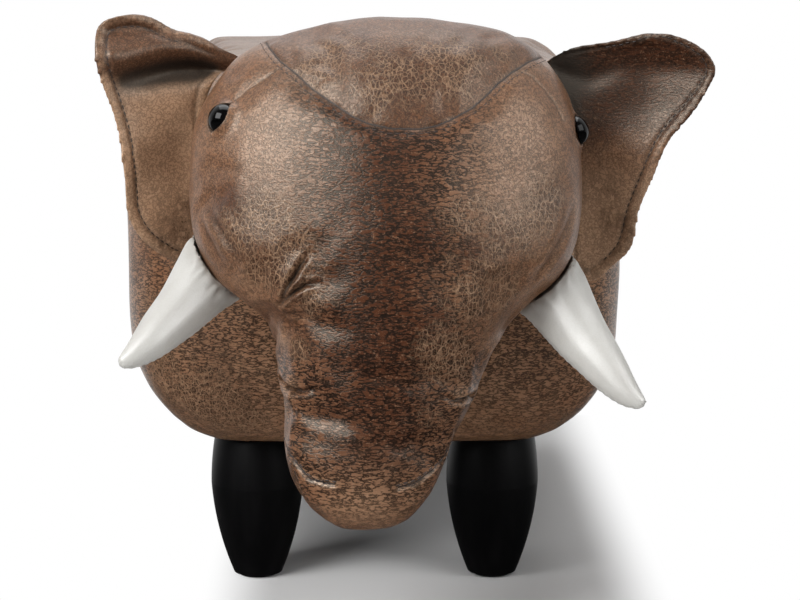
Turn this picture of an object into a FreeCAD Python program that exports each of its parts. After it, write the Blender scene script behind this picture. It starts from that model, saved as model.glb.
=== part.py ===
import FreeCAD, Part
import Sketcher
import math
import os
from types import SimpleNamespace

# Upholstered footstool in the shape of an elephant, in millimetres.
# The elephant faces -Y, its left side is +X, and the floor is z = 0.

V = FreeCAD.Vector

SIZES = [
    # floor and legs
    ("glide_height", 2, "plastic glide under each leg"),
    ("glide_diameter", 25, ""),
    ("glide_edge", 0.6, "bevel round the glide"),
    ("leg_height", 91.5, "turned wooden leg"),
    ("leg_foot_diameter", 31.4, ""),
    ("leg_belly_diameter", 59.5, "widest place of the leg"),
    ("leg_top_diameter", 54, ""),
    ("leg_belly_height", 60, "height of the widest place over the foot"),
    ("leg_flank_radius", 190, "long curve from foot to belly"),
    ("leg_shoulder_radius", 182, "short curve from belly to top"),
    ("leg_spacing", 152.6, "centre to centre across the stool"),
    ("front_leg_setback", 65, "leg centre behind the front of the body"),
    ("rear_leg_setback", 65, "leg centre before the rear of the body"),
    ("bolt_diameter", 8, "hanger bolt of the leg"),
    ("bolt_in_leg", 30, ""),
    ("bolt_over_board", 3, "bolt end over the base board"),
    ("nut_flange_diameter", 22, "flanged nut in the base board"),
    ("nut_flange_thick", 1.6, ""),
    ("nut_barrel_diameter", 11, ""),
    ("nut_barrel_length", 9, ""),
    ("fit_clearance", 0.15, "round a bolt, a nut or a screw"),
    # cover and padding
    ("cover_thick", 1.5, "backed artificial leather"),
    ("cloth_thick", 0.8, "cloth under the base"),
    ("soft_gap", 0.3, "between soft pieces"),
    # body
    ("body_width", 308, ""),
    ("body_length", 465, ""),
    ("body_height", 238.7, "from the cloth under the base to the seat"),
    ("body_front", 195, "front of the body before the zero plane"),
    ("flank_bow", 8, "how far each side bows out"),
    ("seat_bow", 4, "crown of the seat"),
    ("seat_corner", 30, ""),
    ("belly_corner", 66, ""),
    ("end_round", 55, "rounding of the front and the rear"),
    ("belly_trim", 3, "cut flat under the body"),
    ("seat_seam_drop", 26, "seam under the top of the seat"),
    ("turned_under", 12, "cover stapled under the base board"),
    ("cloth_overlap", 8, "cloth over the turned cover"),
    # wooden frame
    ("board_thick", 12, "plywood of base and seat board"),
    ("board_width", 196, ""),
    ("board_corner", 14, ""),
    ("board_inset", 37, "end of the boards inside the body's ends"),
    ("rib_thick", 15, ""),
    ("rib_window_width", 60, ""),
    ("rib_window_height", 60, ""),
    ("rib_window_corner", 20, ""),
    ("seat_board_depth", 44, "seat board under the top of the seat"),
    ("rail_wide", 20, "side rail under the seat board"),
    ("rail_high", 30, ""),
    ("screw_diameter", 4, ""),
    ("screw_head_diameter", 8, ""),
    ("screw_head_height", 2.4, ""),
    ("screw_length", 38, ""),
    ("screw_inset", 26, "outer screws from the board's edge"),
    # head and trunk
    ("head_width", 230.4, ""),
    ("head_depth", 160, "before the front of the body"),
    ("crown_rise", 32.5, "crown over the seat"),
    ("trunk_drop", 11.8, "trunk tip under the body"),
    ("neck_height", 122.5, "cheeks over the trunk tip"),
    ("crown_seam_radius", 88.3, "round seam of the crown panel"),
    ("crown_seam_drop", 62.5, "lowest place of that seam under the crown"),
    ("crown_seam_side", 17, "centre of that seam beside the middle"),
    ("tip_seam_radius", 48.5, "round seam over the trunk tip"),
    ("tip_seam_rise", 23.5, "lowest place of that seam over the tip"),
    ("chin_seam_depth", 66, "side seam of the trunk behind its front"),
    # eyes
    ("eye_diameter", 17, ""),
    ("eye_height", 6.2, "dome over the cover"),
    ("eye_shank_diameter", 4.4, ""),
    ("eye_shank_length", 13, ""),
    ("washer_diameter", 15, ""),
    ("washer_thick", 1.4, ""),
    ("left_eye_drop", 59.5, "under the crown"),
    ("right_eye_drop", 48.5, ""),
    ("left_eye_turn", 80, "degrees from straight ahead"),
    ("right_eye_turn", 62, ""),
    ("washer_room", 1.6, "round the washer, in the stuffing"),
    # tusks
    ("tusk_base", 45, "width at the cheek"),
    ("tusk_reach", 60, "how far a tusk goes sideways"),
    ("tusk_drop", 62, "how far a tusk goes down"),
    ("tusk_forward", 56, "how far a tusk goes forward"),
    # ears
    ("ear_height", 149, ""),
    ("ear_width", 76, "from root to rim"),
    ("ear_thick", 9, "in the middle"),
    ("ear_rim_thick", 2.7, ""),
    ("ear_cover_thick", 1.1, ""),
    ("ear_root_gap", 0.95, "from the head to the root of the ear"),
    ("ear_setback", 21, "root of the ear before the front of the body"),
    ("left_ear_drop", 10.4, "top of the left ear under the crown"),
    ("right_ear_rise", 1.1, "top of the right ear over the crown"),
    ("ear_padding_trim", 7, "padding ends at the line of stitches"),
    ("ear_padding_room", 1.8, "between the padding and the covers of the ear"),
    # tail
    ("tail_length", 128, ""),
    ("tail_thick", 7, ""),
    ("tail_width", 15, ""),
    ("tail_end_width", 10, ""),
    ("tail_drop", 46, "root of the tail under the seat"),
    ("tassel_length", 48, ""),
    ("tassel_diameter", 19, ""),
    ("tassel_end_diameter", 11, ""),
    ("overrun", 40, "how far a cutting body reaches past its work"),
]

# Each row: share of the height, then of the head's width: half width and centre,
# then of the head's depth: front and back before the body.
HEAD_SHARES = (
    (1.000, 0.061, 0.074, 0.531, 0.394),
    (0.993, 0.117, 0.069, 0.581, 0.331),
    (0.979, 0.213, 0.067, 0.637, 0.275),
    (0.959, 0.299, 0.056, 0.694, 0.225),
    (0.931, 0.360, 0.043, 0.744, 0.169),
    (0.875, 0.423, 0.036, 0.806, 0.062),
    (0.790, 0.473, 0.031, 0.869, -0.056),
    (0.684, 0.487, 0.032, 0.925, -0.062),
    (0.581, 0.482, 0.031, 0.963, -0.062),
    (0.493, 0.432, 0.035, 0.981, -0.050),
    (0.433, 0.333, 0.038, 0.988, 0.050),
    (0.380, 0.283, 0.032, 0.991, 0.250),
    (0.313, 0.252, 0.017, 0.988, 0.394),
    (0.239, 0.227, 0.003, 0.988, 0.469),
    (0.150, 0.204, -0.018, 0.994, 0.519),
    (0.076, 0.171, -0.022, 0.988, 0.556),
    (0.048, 0.145, -0.020, 0.975, 0.581),
    (0.019, 0.104, -0.018, 0.938, 0.631),
    (0.000, 0.052, -0.017, 0.869, 0.706),
)
HEAD_BOW_SHARES = (0.18, 0.36, 0.16)
HEAD_TURN_SHARE = 0.55

# Each row: share of the ear's height, then of its width: inner and outer edge past
# the root, and how far each edge lies before the root.
LEFT_EAR_SHARES = (
    (0.000, 0.000, 0.190, 0.010, 0.030),
    (0.034, 0.000, 0.322, 0.000, 0.060),
    (0.085, 0.000, 0.422, 0.000, 0.090),
    (0.115, 0.000, 0.474, 0.000, 0.120),
    (0.283, 0.000, 0.567, 0.000, 0.150),
    (0.417, 0.000, 0.662, 0.000, 0.170),
    (0.583, 0.000, 0.801, 0.000, 0.200),
    (0.687, -0.020, 0.966, 0.000, 0.220),
    (0.790, -0.100, 1.089, 0.000, 0.250),
    (0.869, -0.190, 1.133, 0.000, 0.250),
    (0.912, -0.110, 1.084, 0.010, 0.250),
    (0.963, 0.290, 0.954, 0.080, 0.230),
    (0.992, 0.540, 0.820, 0.120, 0.200),
    (1.000, 0.620, 0.740, 0.130, 0.180),
)
RIGHT_EAR_SHARES = (
    (0.000, 0.000, 0.149, 0.010, 0.030),
    (0.022, 0.000, 0.302, 0.000, 0.110),
    (0.081, 0.000, 0.449, 0.000, 0.180),
    (0.167, 0.000, 0.571, 0.000, 0.250),
    (0.290, 0.000, 0.616, 0.000, 0.300),
    (0.411, 0.000, 0.624, 0.000, 0.330),
    (0.510, 0.000, 0.649, 0.000, 0.340),
    (0.629, 0.000, 0.704, 0.000, 0.350),
    (0.727, -0.060, 0.769, 0.000, 0.370),
    (0.824, -0.240, 0.811, 0.000, 0.370),
    (0.862, -0.290, 0.818, 0.010, 0.365),
    (0.921, 0.097, 0.815, 0.050, 0.345),
    (0.978, 0.375, 0.750, 0.140, 0.310),
    (0.994, 0.470, 0.655, 0.170, 0.290),
    (1.000, 0.520, 0.600, 0.200, 0.250),
)
EAR_CUP_SHARE = 0.12
EAR_TRIM_SHARE = 0.3

# Each row: shares of reach, drop and forward travel, then the width as a share of
# the base.
TUSK_SHARES = (
    (-0.30, -0.22, -0.45, 1.05),
    (0.00, 0.00, 0.00, 1.00),
    (0.20, 0.24, 0.25, 0.83),
    (0.44, 0.53, 0.50, 0.66),
    (0.67, 0.76, 0.72, 0.50),
    (0.84, 0.91, 0.86, 0.34),
    (1.00, 1.00, 0.96, 0.13),
)
TUSK_FLAT_SHARE = 0.84
LEFT_TUSK_SHARES = (0.431, 0.464, 0.84, 0.96)
RIGHT_TUSK_SHARES = (-0.389, 0.504, 0.855, 0.755)

# Places along the straight middle of the body where its outline is repeated.
BODY_STATION_SHARES = (0.06, 0.25, 0.5, 0.75, 0.94)

doc = FreeCAD.newDocument("elephant_footstool")
sheet = doc.addObject("Spreadsheet::Sheet", "sizes")
nodes = []


# The sheet holds one row for each driving size.
def fill_sheet():
    for row, (name, number, note) in enumerate(SIZES, start=1):
        sheet.set("A%d" % row, name)
        sheet.set("B%d" % row, str(number))
        sheet.set("C%d" % row, note)
        sheet.setAlias("B%d" % row, name)
    doc.recompute()


def read_sheet():
    return SimpleNamespace(**{name: float(sheet.get(name)) for name, _, _ in SIZES})


def worth(text):
    return float(sheet.evalExpression(text.replace("#", "sizes.")))


def bound(text):
    return text.replace("#", "sizes.")


def role_plane(body, role):
    for feature in body.Origin.OriginFeatures:
        if feature.Role == role:
            return feature


# A closed outline whose corners are tied to the sheet. A corner is (across, up) and the
# next edge is straight, or (across, up, radius) and the next edge bows outwards.
def outline(sketch, corners):
    places = [V(worth(corner[0]), worth(corner[1]), 0) for corner in corners]
    ends = []
    for number, corner in enumerate(corners):
        here = places[number]
        there = places[(number + 1) % len(places)]
        if len(corner) == 2:
            edge = sketch.addGeometry(Part.LineSegment(here, there), False)
        else:
            radius = worth(corner[2])
            chord = there - here
            half = chord.Length / 2
            normal = V(-chord.y, chord.x, 0).normalize()
            centre = (here + there) / 2 + normal * math.sqrt(radius**2 - half**2)
            circle = Part.Circle(centre, V(0, 0, 1), radius)
            first = math.atan2(here.y - centre.y, here.x - centre.x)
            last = math.atan2(there.y - centre.y, there.x - centre.x)
            edge = sketch.addGeometry(Part.ArcOfCircle(circle, first, last), False)
            rule = sketch.addConstraint(Sketcher.Constraint("Radius", edge, radius))
            sketch.setExpression("Constraints[%d]" % rule, bound(corner[2]))
        ends.append(edge)
    for number, corner in enumerate(corners):
        edge = ends[number]
        follower = ends[(number + 1) % len(ends)]
        sketch.addConstraint(Sketcher.Constraint("Coincident", edge, 2, follower, 1))
        for axis, text, kind in ((-2, corner[0], "DistanceX"), (-1, corner[1], "DistanceY")):
            if text == "0":
                sketch.addConstraint(Sketcher.Constraint("PointOnObject", edge, 1, axis))
            else:
                rule = Sketcher.Constraint(kind, -1, 1, edge, 1, worth(text))
                index = sketch.addConstraint(rule)
                sketch.setExpression("Constraints[%d]" % index, bound(text))


def new_body(label):
    body = doc.addObject("PartDesign::Body", label)
    body.Label = label
    return body


def new_sketch(body, name, role):
    sketch = body.newObject("Sketcher::SketchObject", name)
    sketch.AttachmentSupport = [(role_plane(body, role), "")]
    sketch.MapMode = "FlatFace"
    return sketch


# A piece turned about its own upright axis.
def turned(label, corners):
    body = new_body(label)
    sketch = new_sketch(body, label + "_profile", "XZ_Plane")
    outline(sketch, corners)
    turn = body.newObject("PartDesign::Revolution", label + "_turn")
    turn.Profile = sketch
    turn.ReferenceAxis = (sketch, ["V_Axis"])
    turn.Angle = 360
    sketch.Visibility = False
    body.Tip = turn
    doc.recompute()
    return body


# A flat piece whose outline is padded by a size of the sheet.
def padded(label, role, corners, depth, middle=False):
    body = new_body(label)
    sketch = new_sketch(body, label + "_outline", role)
    outline(sketch, corners)
    pad = body.newObject("PartDesign::Pad", label + "_pad")
    pad.Profile = sketch
    pad.setExpression("Length", bound(depth))
    pad.Midplane = middle
    body.Tip = pad
    doc.recompute()
    return body


def pocketed(body, label, role, corners):
    before = body.Shape.Volume
    sketch = new_sketch(body, label + "_outline", role)
    outline(sketch, corners)
    pocket = body.newObject("PartDesign::Pocket", label)
    pocket.Profile = sketch
    pocket.Type = "ThroughAll"
    pocket.Midplane = True
    body.Tip = pocket
    doc.recompute()
    if body.Shape.Volume >= before:
        raise RuntimeError(label + " cuts nothing")


def keep(thing, label, place=None):
    thing.Label = label
    if place is not None:
        thing.Placement = place
    nodes.append(thing)
    return thing


def keep_shape(label, shape):
    thing = doc.addObject("Part::Feature", label)
    thing.Shape = shape
    thing.Placement = FreeCAD.Placement(origin_shift, FreeCAD.Rotation())
    return keep(thing, label)


# A body with the room for its fasteners cut out.
def drilled(label, body, room):
    tool = doc.addObject("Part::Feature", label + "_room")
    tool.Shape = room
    cut = doc.addObject("Part::Cut", label)
    cut.Base = body
    cut.Tool = tool
    doc.recompute()
    cut.Placement = FreeCAD.Placement(origin_shift, FreeCAD.Rotation())
    return keep(cut, label)


def at(x, y, z, rotation=None):
    return FreeCAD.Placement(V(x, y, z), rotation or FreeCAD.Rotation())


def arc(first, middle, last):
    return Part.Arc(first, middle, last).toShape()


# Centre of the corner circle that runs tangent into a side arc and an end arc.
def corner_centre(side_centre, side_radius, end_centre, end_radius, turn, up):
    reach = side_radius - turn
    rise = end_radius - turn
    gap = end_centre - side_centre
    along = (reach**2 - rise**2 + gap.Length**2) / (2 * gap.Length)
    off = math.sqrt(reach**2 - along**2)
    step = V(gap.x, gap.y, 0).normalize()
    normal = V(-step.y, step.x, 0)
    choices = [side_centre + step * along + normal * off * sign for sign in (-1, 1)]
    return max(choices, key=lambda c: c.x + c.y * up)


def bow_radius(half, bow):
    return (half**2 + bow**2) / (2 * bow)


# Closed ring of eight tangent arcs: bowed sides, bowed ends and round corners.
def bowed_ring(place, half, low, high, bows, turns):
    side_bow, low_bow, high_bow = bows
    middle = (low + high) / 2
    side_radius = bow_radius((high - low) / 2, side_bow)
    side_centre = V(half - side_radius, middle, 0)
    points = {}
    for up, edge, bow, turn in ((-1, low, low_bow, turns[0]), (1, high, high_bow, turns[1])):
        end_radius = bow_radius(half, bow)
        end_centre = V(0, edge - up * end_radius, 0)
        centre = corner_centre(side_centre, side_radius, end_centre, end_radius, turn, up)
        from_side = (centre - side_centre).normalize()
        from_end = (centre - end_centre).normalize()
        between = (from_side + from_end).normalize()
        points[up] = (
            side_centre + from_side * side_radius,
            centre + between * turn,
            end_centre + from_end * end_radius,
            V(0, edge, 0),
        )

    def spot(point, mirror=1):
        return place(point.x * mirror, point.y)

    low_side, low_turn, low_end, low_mid = points[-1]
    high_side, high_turn, high_end, high_mid = points[1]
    waist = V(half, middle, 0)
    edges = [
        arc(spot(low_side), spot(waist), spot(high_side)),
        arc(spot(high_side), spot(high_turn), spot(high_end)),
        arc(spot(high_end), spot(high_mid), spot(high_end, -1)),
        arc(spot(high_end, -1), spot(high_turn, -1), spot(high_side, -1)),
        arc(spot(high_side, -1), spot(waist, -1), spot(low_side, -1)),
        arc(spot(low_side, -1), spot(low_turn, -1), spot(low_end, -1)),
        arc(spot(low_end, -1), spot(low_mid), spot(low_end)),
        arc(spot(low_end), spot(low_turn), spot(low_side)),
    ]
    return Part.Wire(edges)


# Body outside or one of its inner layers, deep under the cover by inset.
def body_form(s, inset):
    half = s.body_width / 2 - inset
    top = s.body_top - inset
    low = s.body_bottom + inset - s.belly_trim
    front = -s.body_front + inset
    rear = front + s.body_length - 2 * inset
    round_end = s.end_round - inset
    rings = []
    start = math.radians(25)
    angles = [math.radians(a) for a in (25, 45, 67, 90)]
    stations = [
        (front + round_end * (math.cos(start) - math.cos(a)), round_end * (1 - math.sin(a)))
        for a in angles
    ]
    last = stations[-1][0]
    straight = rear + front - 2 * last
    stations += [(last + share * straight, 0) for share in BODY_STATION_SHARES]
    stations += [(rear + front - y, drawn) for y, drawn in reversed(stations[: len(angles)])]
    for y, drawn in stations:
        shrink = (half - drawn) / half
        rings.append(
            bowed_ring(
                lambda u, v, y=y: V(u, y, v),
                half - drawn,
                low + drawn,
                top - drawn,
                (s.flank_bow * shrink, s.seat_bow * shrink, s.seat_bow * shrink),
                ((s.belly_corner - inset) * shrink, (s.seat_corner - inset) * shrink),
            )
        )
    form = Part.makeLoft(rings, True)
    flat = Part.makeBox(
        s.body_width + s.overrun,
        s.body_length + s.overrun,
        s.overrun,
        V(-(s.body_width + s.overrun) / 2, front - s.overrun / 2, s.body_bottom + inset - s.overrun),
    )
    return form.cut(flat)


# Head and trunk in one form, from the trunk tip to the crown.
def head_form(s, inset):
    height = s.crown_top - s.trunk_tip
    rings = []
    for up, wide, aside, front, back in HEAD_SHARES:
        half = wide * s.head_width - inset
        z = s.trunk_tip + inset + up * (height - 2 * inset)
        low = -s.body_front - front * s.head_depth + inset
        high = -s.body_front - back * s.head_depth - inset
        bows = (
            HEAD_BOW_SHARES[0] * (high - low) / 2,
            HEAD_BOW_SHARES[1] * half,
            HEAD_BOW_SHARES[2] * half,
        )
        turn = HEAD_TURN_SHARE * min(half, (high - low) / 2)
        rings.append(
            bowed_ring(
                lambda u, v, c=aside * s.head_width, z=z: V(u + c, v, z),
                half,
                low,
                high,
                bows,
                (turn, turn),
            )
        )
    return Part.makeLoft(rings, True)


# Middle of the ear at one height: a shallow cup from the root to the rim.
def ear_line(s, row, root, side, share):
    _, inner, outer, inner_before, outer_before = row
    along = inner + (outer - inner) * share
    before = inner_before + (outer_before - inner_before) * share
    cup = EAR_CUP_SHARE * (outer - inner) * 4 * share * (1 - share)
    return root.x + side * along * s.ear_width, root.y + (cup - before) * s.ear_width


# One layer of an ear. Its front and back are measured from the middle of the ear, at
# the edges and at the widest place, and trim draws both edges in.
def ear_layer(s, rows, side, root, front, back, trim):
    rings = []
    for row in rows:
        width = (row[2] - row[1]) * s.ear_width
        full = min(1, width * 3 / s.ear_width)
        share = min(trim / width, EAR_TRIM_SHARE)
        z = root.z + s.ear_height * row[0]
        thin = 4 * share * (1 - share) if trim else 0
        x_in, y_in = ear_line(s, row, root, side, share)
        x_mid, y_mid = ear_line(s, row, root, side, 0.5)
        x_out, y_out = ear_line(s, row, root, side, 1 - share)
        near = front[0] + (front[1] - front[0]) * full * thin
        near_mid = front[0] + (front[1] - front[0]) * full
        far = back[0] + (back[1] - back[0]) * full * thin
        far_mid = back[0] + (back[1] - back[0]) * full
        a = V(x_in, y_in + near, z)
        b = V(x_out, y_out + near, z)
        c = V(x_out, y_out + far, z)
        d = V(x_in, y_in + far, z)
        rings.append(
            Part.Wire([
                arc(a, V(x_mid, y_mid + near_mid, z), b),
                Part.LineSegment(b, c).toShape(),
                arc(c, V(x_mid, y_mid + far_mid, z), d),
                Part.LineSegment(d, a).toShape(),
            ])
        )
    return Part.makeLoft(rings, True)


def ear_pieces(s, rows, side, root):
    rim = s.ear_rim_thick / 2
    mid = s.ear_thick / 2
    cover = s.ear_cover_thick
    gap = s.soft_gap
    front = ear_layer(s, rows, side, root, (-rim, -mid), (-gap / 2, -mid + cover), 0)
    back = ear_layer(s, rows, side, root, (gap / 2, mid - cover), (rim, mid), 0)
    inside = mid - cover - s.ear_padding_room
    trim = s.ear_padding_trim
    middle_rows = rows[1:-1]
    fill = ear_layer(s, middle_rows, side, root, (gap / 2, -inside), (-gap / 2, inside), trim)
    return front, back, fill


# A tusk or its stuffing: ovals along a curved way from the cheek to the tip.
def tusk_form(s, start, side, stretch, inset):
    centres = []
    for out, down, forward, _ in TUSK_SHARES:
        centres.append(
            start
            + V(
                side * out * s.tusk_reach * stretch[0],
                -forward * s.tusk_forward,
                -down * s.tusk_drop * stretch[1],
            )
        )
    rings = []
    for number, (_, _, _, wide) in enumerate(TUSK_SHARES):
        before = centres[max(number - 1, 0)]
        after = centres[min(number + 1, len(centres) - 1)]
        way = (after - before).normalize()
        flat = way.cross(V(0, 1, 0)).normalize()
        deep = flat.cross(way).normalize()
        half = wide * s.tusk_base / 2 - inset
        thin = half * TUSK_FLAT_SHARE
        centre = centres[number]
        if number == len(centres) - 1:
            centre = centre - way * inset

        def spot(angle, centre=centre, flat=flat, deep=deep, half=half, thin=thin):
            return centre + flat * half * math.cos(angle) + deep * thin * math.sin(angle)

        quarter = math.pi / 2
        rings.append(
            Part.Wire([
                arc(spot(q * quarter), spot((q + 0.5) * quarter), spot((q + 1) * quarter))
                for q in range(4)
            ])
        )
    return Part.makeLoft(rings, True)


def slab(s, z_low, z_high):
    reach = s.body_width + s.body_length
    return Part.makeBox(2 * reach, 2 * reach, z_high - z_low, V(-reach, -reach, z_low))


def single(shape):
    return max(shape.Solids, key=lambda solid: solid.Volume)


# Legs with their glides, bolts and nuts.
def build_legs(s):
    corner_places = [
        ("front_left", s.leg_spacing / 2, s.front_leg_y),
        ("front_right", -s.leg_spacing / 2, s.front_leg_y),
        ("rear_left", s.leg_spacing / 2, s.rear_leg_y),
        ("rear_right", -s.leg_spacing / 2, s.rear_leg_y),
    ]
    bore = "#bolt_diameter / 2 + #fit_clearance"
    for name, x, y in corner_places:
        leg = turned("leg_" + name, [
            ("0", "0"),
            ("#leg_foot_diameter / 2", "0", "#leg_flank_radius"),
            ("#leg_belly_diameter / 2", "#leg_belly_height", "#leg_shoulder_radius"),
            ("#leg_top_diameter / 2", "#leg_height"),
            (bore, "#leg_height"),
            (bore, "#leg_height - #bolt_in_leg"),
            ("0", "#leg_height - #bolt_in_leg"),
        ])
        keep(leg, "leg_" + name, at(x + origin_shift.x, y + origin_shift.y, s.glide_height))
        glide = turned("glide_" + name, [
            ("0", "0"),
            ("#glide_diameter / 2 - #glide_edge", "0"),
            ("#glide_diameter / 2", "#glide_edge"),
            ("#glide_diameter / 2", "#glide_height"),
            ("0", "#glide_height"),
        ])
        keep(glide, "glide_" + name, at(x + origin_shift.x, y + origin_shift.y, 0))
    return [(x, y) for _, x, y in corner_places]


def build_fasteners(s, legs):
    bolt = turned("bolt_pattern", [
        ("0", "0"),
        ("#bolt_diameter / 2", "0"),
        ("#bolt_diameter / 2", "#bolt_in_leg + #cloth_thick + #cover_thick + #board_thick"
         " + #nut_flange_thick + #bolt_over_board"),
        ("0", "#bolt_in_leg + #cloth_thick + #cover_thick + #board_thick"
         " + #nut_flange_thick + #bolt_over_board"),
    ])
    nut = turned("nut_pattern", [
        ("#bolt_diameter / 2 + #fit_clearance", "0"),
        ("#nut_barrel_diameter / 2", "0"),
        ("#nut_barrel_diameter / 2", "#nut_barrel_length"),
        ("#nut_flange_diameter / 2", "#nut_barrel_length"),
        ("#nut_flange_diameter / 2", "#nut_barrel_length + #nut_flange_thick"),
        ("#bolt_diameter / 2 + #fit_clearance", "#nut_barrel_length + #nut_flange_thick"),
    ])
    screw = turned("screw_pattern", [
        ("0", "0"),
        ("#screw_diameter / 2", "0"),
        ("#screw_diameter / 2", "#screw_length - #screw_head_height"),
        ("#screw_head_diameter / 2", "#screw_length"),
        ("0", "#screw_length"),
    ])
    bolt_low = s.glide_height + s.leg_height - s.bolt_in_leg
    nut_low = s.board_low + s.board_thick - s.nut_barrel_length
    bolts = [placed(bolt.Shape, at(x, y, bolt_low)) for x, y in legs]
    nuts = [placed(nut.Shape, at(x, y, nut_low)) for x, y in legs]
    over = FreeCAD.Rotation(V(1, 0, 0), 180)
    across = [s.board_width / 2 - s.screw_inset]
    across.append(-across[0])
    screws_up = []
    screws_down = []
    for y in s.rib_places:
        for x in across:
            screws_down.append(placed(screw.Shape, at(x, y, s.seat_board_top - s.screw_length)))
            screws_up.append(placed(screw.Shape, at(x, y, s.board_low + s.screw_length, over)))
    keep_shape("hanger_bolts", Part.makeCompound(bolts))
    keep_shape("flanged_nuts", Part.makeCompound(nuts))
    keep_shape("frame_screws", Part.makeCompound(screws_up + screws_down))


def placed(shape, place):
    copy = shape.copy()
    copy.Placement = place
    return copy


# Room for a screw: its shank and its head with the clearance all round.
def screw_room(s, x, y, z_head, up):
    play = s.fit_clearance
    direction = V(0, 0, up)
    shank = Part.makeCylinder(
        s.screw_diameter / 2 + play, s.screw_length + play, V(x, y, z_head), direction
    )
    head = Part.makeCone(
        s.screw_head_diameter / 2 + play,
        s.screw_diameter / 2 + play,
        s.screw_head_height + play,
        V(x, y, z_head),
        direction,
    )
    return shank.fuse(head)


def rectangle(half, low, high):
    return [("-" + half, low), (half, low), (half, high), ("-" + half, high)]


# Plywood boards, ribs and side rails.
def build_frame(s, legs):
    across = [s.board_width / 2 - s.screw_inset]
    across.append(-across[0])
    from_below = [screw_room(s, x, y, s.board_low, 1) for y in s.rib_places for x in across]
    from_above = [
        screw_room(s, x, y, s.seat_board_top, -1) for y in s.rib_places for x in across
    ]
    play = s.fit_clearance
    nut_room = [
        Part.makeCylinder(s.nut_barrel_diameter / 2 + play, s.board_thick, V(x, y, s.board_low))
        for x, y in legs
    ]
    front = "-#body_front + #board_inset"
    rear = "#body_length - #body_front - #board_inset"
    for label, z, room in (
        ("base_board", s.board_low, from_below + nut_room),
        ("seat_board", s.seat_board_top - s.board_thick, from_above),
    ):
        board = padded(label + "_blank", "XY_Plane", rectangle("#board_width / 2", front, rear),
                       "#board_thick")
        pad = board.Tip
        upright = [
            "Edge%d" % (number + 1)
            for number, edge in enumerate(pad.Shape.Edges)
            if abs(edge.tangentAt(edge.FirstParameter).z) > abs(edge.Length - s.board_thick)
            and abs(edge.Length - s.board_thick) < s.fit_clearance
        ]
        fillet = board.newObject("PartDesign::Fillet", label + "_corners")
        fillet.Base = (pad, upright)
        fillet.setExpression("Radius", bound("#board_corner"))
        board.Tip = fillet
        board.Placement = at(0, 0, z)
        doc.recompute()
        drilled(label, board, Part.makeCompound(room))
    rib_room = Part.makeCompound(from_below + from_above)
    height = "#body_height - #seat_board_depth - #cover_thick - 2 * #board_thick"
    half = "#board_width / 2"
    notch = half + " - #rail_wide"
    window = "#rib_window_width / 2"
    turn = "#rib_window_corner"
    low = "(" + height + ") / 2 - #rib_window_height / 2"
    high = "(" + height + ") / 2 + #rib_window_height / 2"
    for name, y in zip(("front", "middle", "rear"), s.rib_places):
        rib = padded("rib_%s_blank" % name, "XZ_Plane", [
            ("-" + half, "0"),
            (half, "0"),
            (half, height + " - #rail_high"),
            (notch, height + " - #rail_high"),
            (notch, height),
            ("-(" + notch + ")", height),
            ("-(" + notch + ")", height + " - #rail_high"),
            ("-" + half, height + " - #rail_high"),
        ], "#rib_thick", middle=True)
        pocketed(rib, "rib_%s_window" % name, "XZ_Plane", [
            ("-" + window + " + " + turn, low),
            (window + " - " + turn, low, turn),
            (window, low + " + " + turn),
            (window, high + " - " + turn, turn),
            (window + " - " + turn, high),
            ("-" + window + " + " + turn, high, turn),
            ("-" + window, high + " - " + turn),
            ("-" + window, low + " + " + turn, turn),
        ])
        rib.Placement = at(0, y, s.board_low + s.board_thick)
        drilled("rib_" + name, rib, rib_room)
    for name, side in (("left", 1), ("right", -1)):
        rail = padded("rail_" + name, "XZ_Plane", [
            ("0", "0"),
            ("#rail_wide", "0"),
            ("#rail_wide", "#rail_high"),
            ("0", "#rail_high"),
        ], "#body_length - 2 * #board_inset", middle=True)
        x = s.board_width / 2 - s.rail_wide if side > 0 else -s.board_width / 2
        y = s.body_length / 2 - s.body_front
        z = s.seat_board_top - s.board_thick - s.rail_high
        keep(rail, "rail_" + name, at(x + origin_shift.x, y + origin_shift.y, z))


# Cloth under the base, with a hole for each bolt.
def build_cloth(s, legs):
    half = "#board_width / 2 - #turned_under + #cloth_overlap"
    front = "-#body_front + #board_inset + #turned_under - #cloth_overlap"
    rear = "#body_length - #body_front - #board_inset - #turned_under + #cloth_overlap"
    blank = padded("base_cloth_blank", "XY_Plane", rectangle("(" + half + ")", front, rear),
                   "#cloth_thick")
    blank.Placement = at(0, 0, s.body_bottom - s.cloth_thick)
    room = [
        Part.makeCylinder(
            s.bolt_diameter / 2 + s.fit_clearance,
            s.overrun,
            V(x, y, s.body_bottom - s.overrun / 2),
        )
        for x, y in legs
    ]
    drilled("base_cloth", blank, Part.makeCompound(room))


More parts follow.
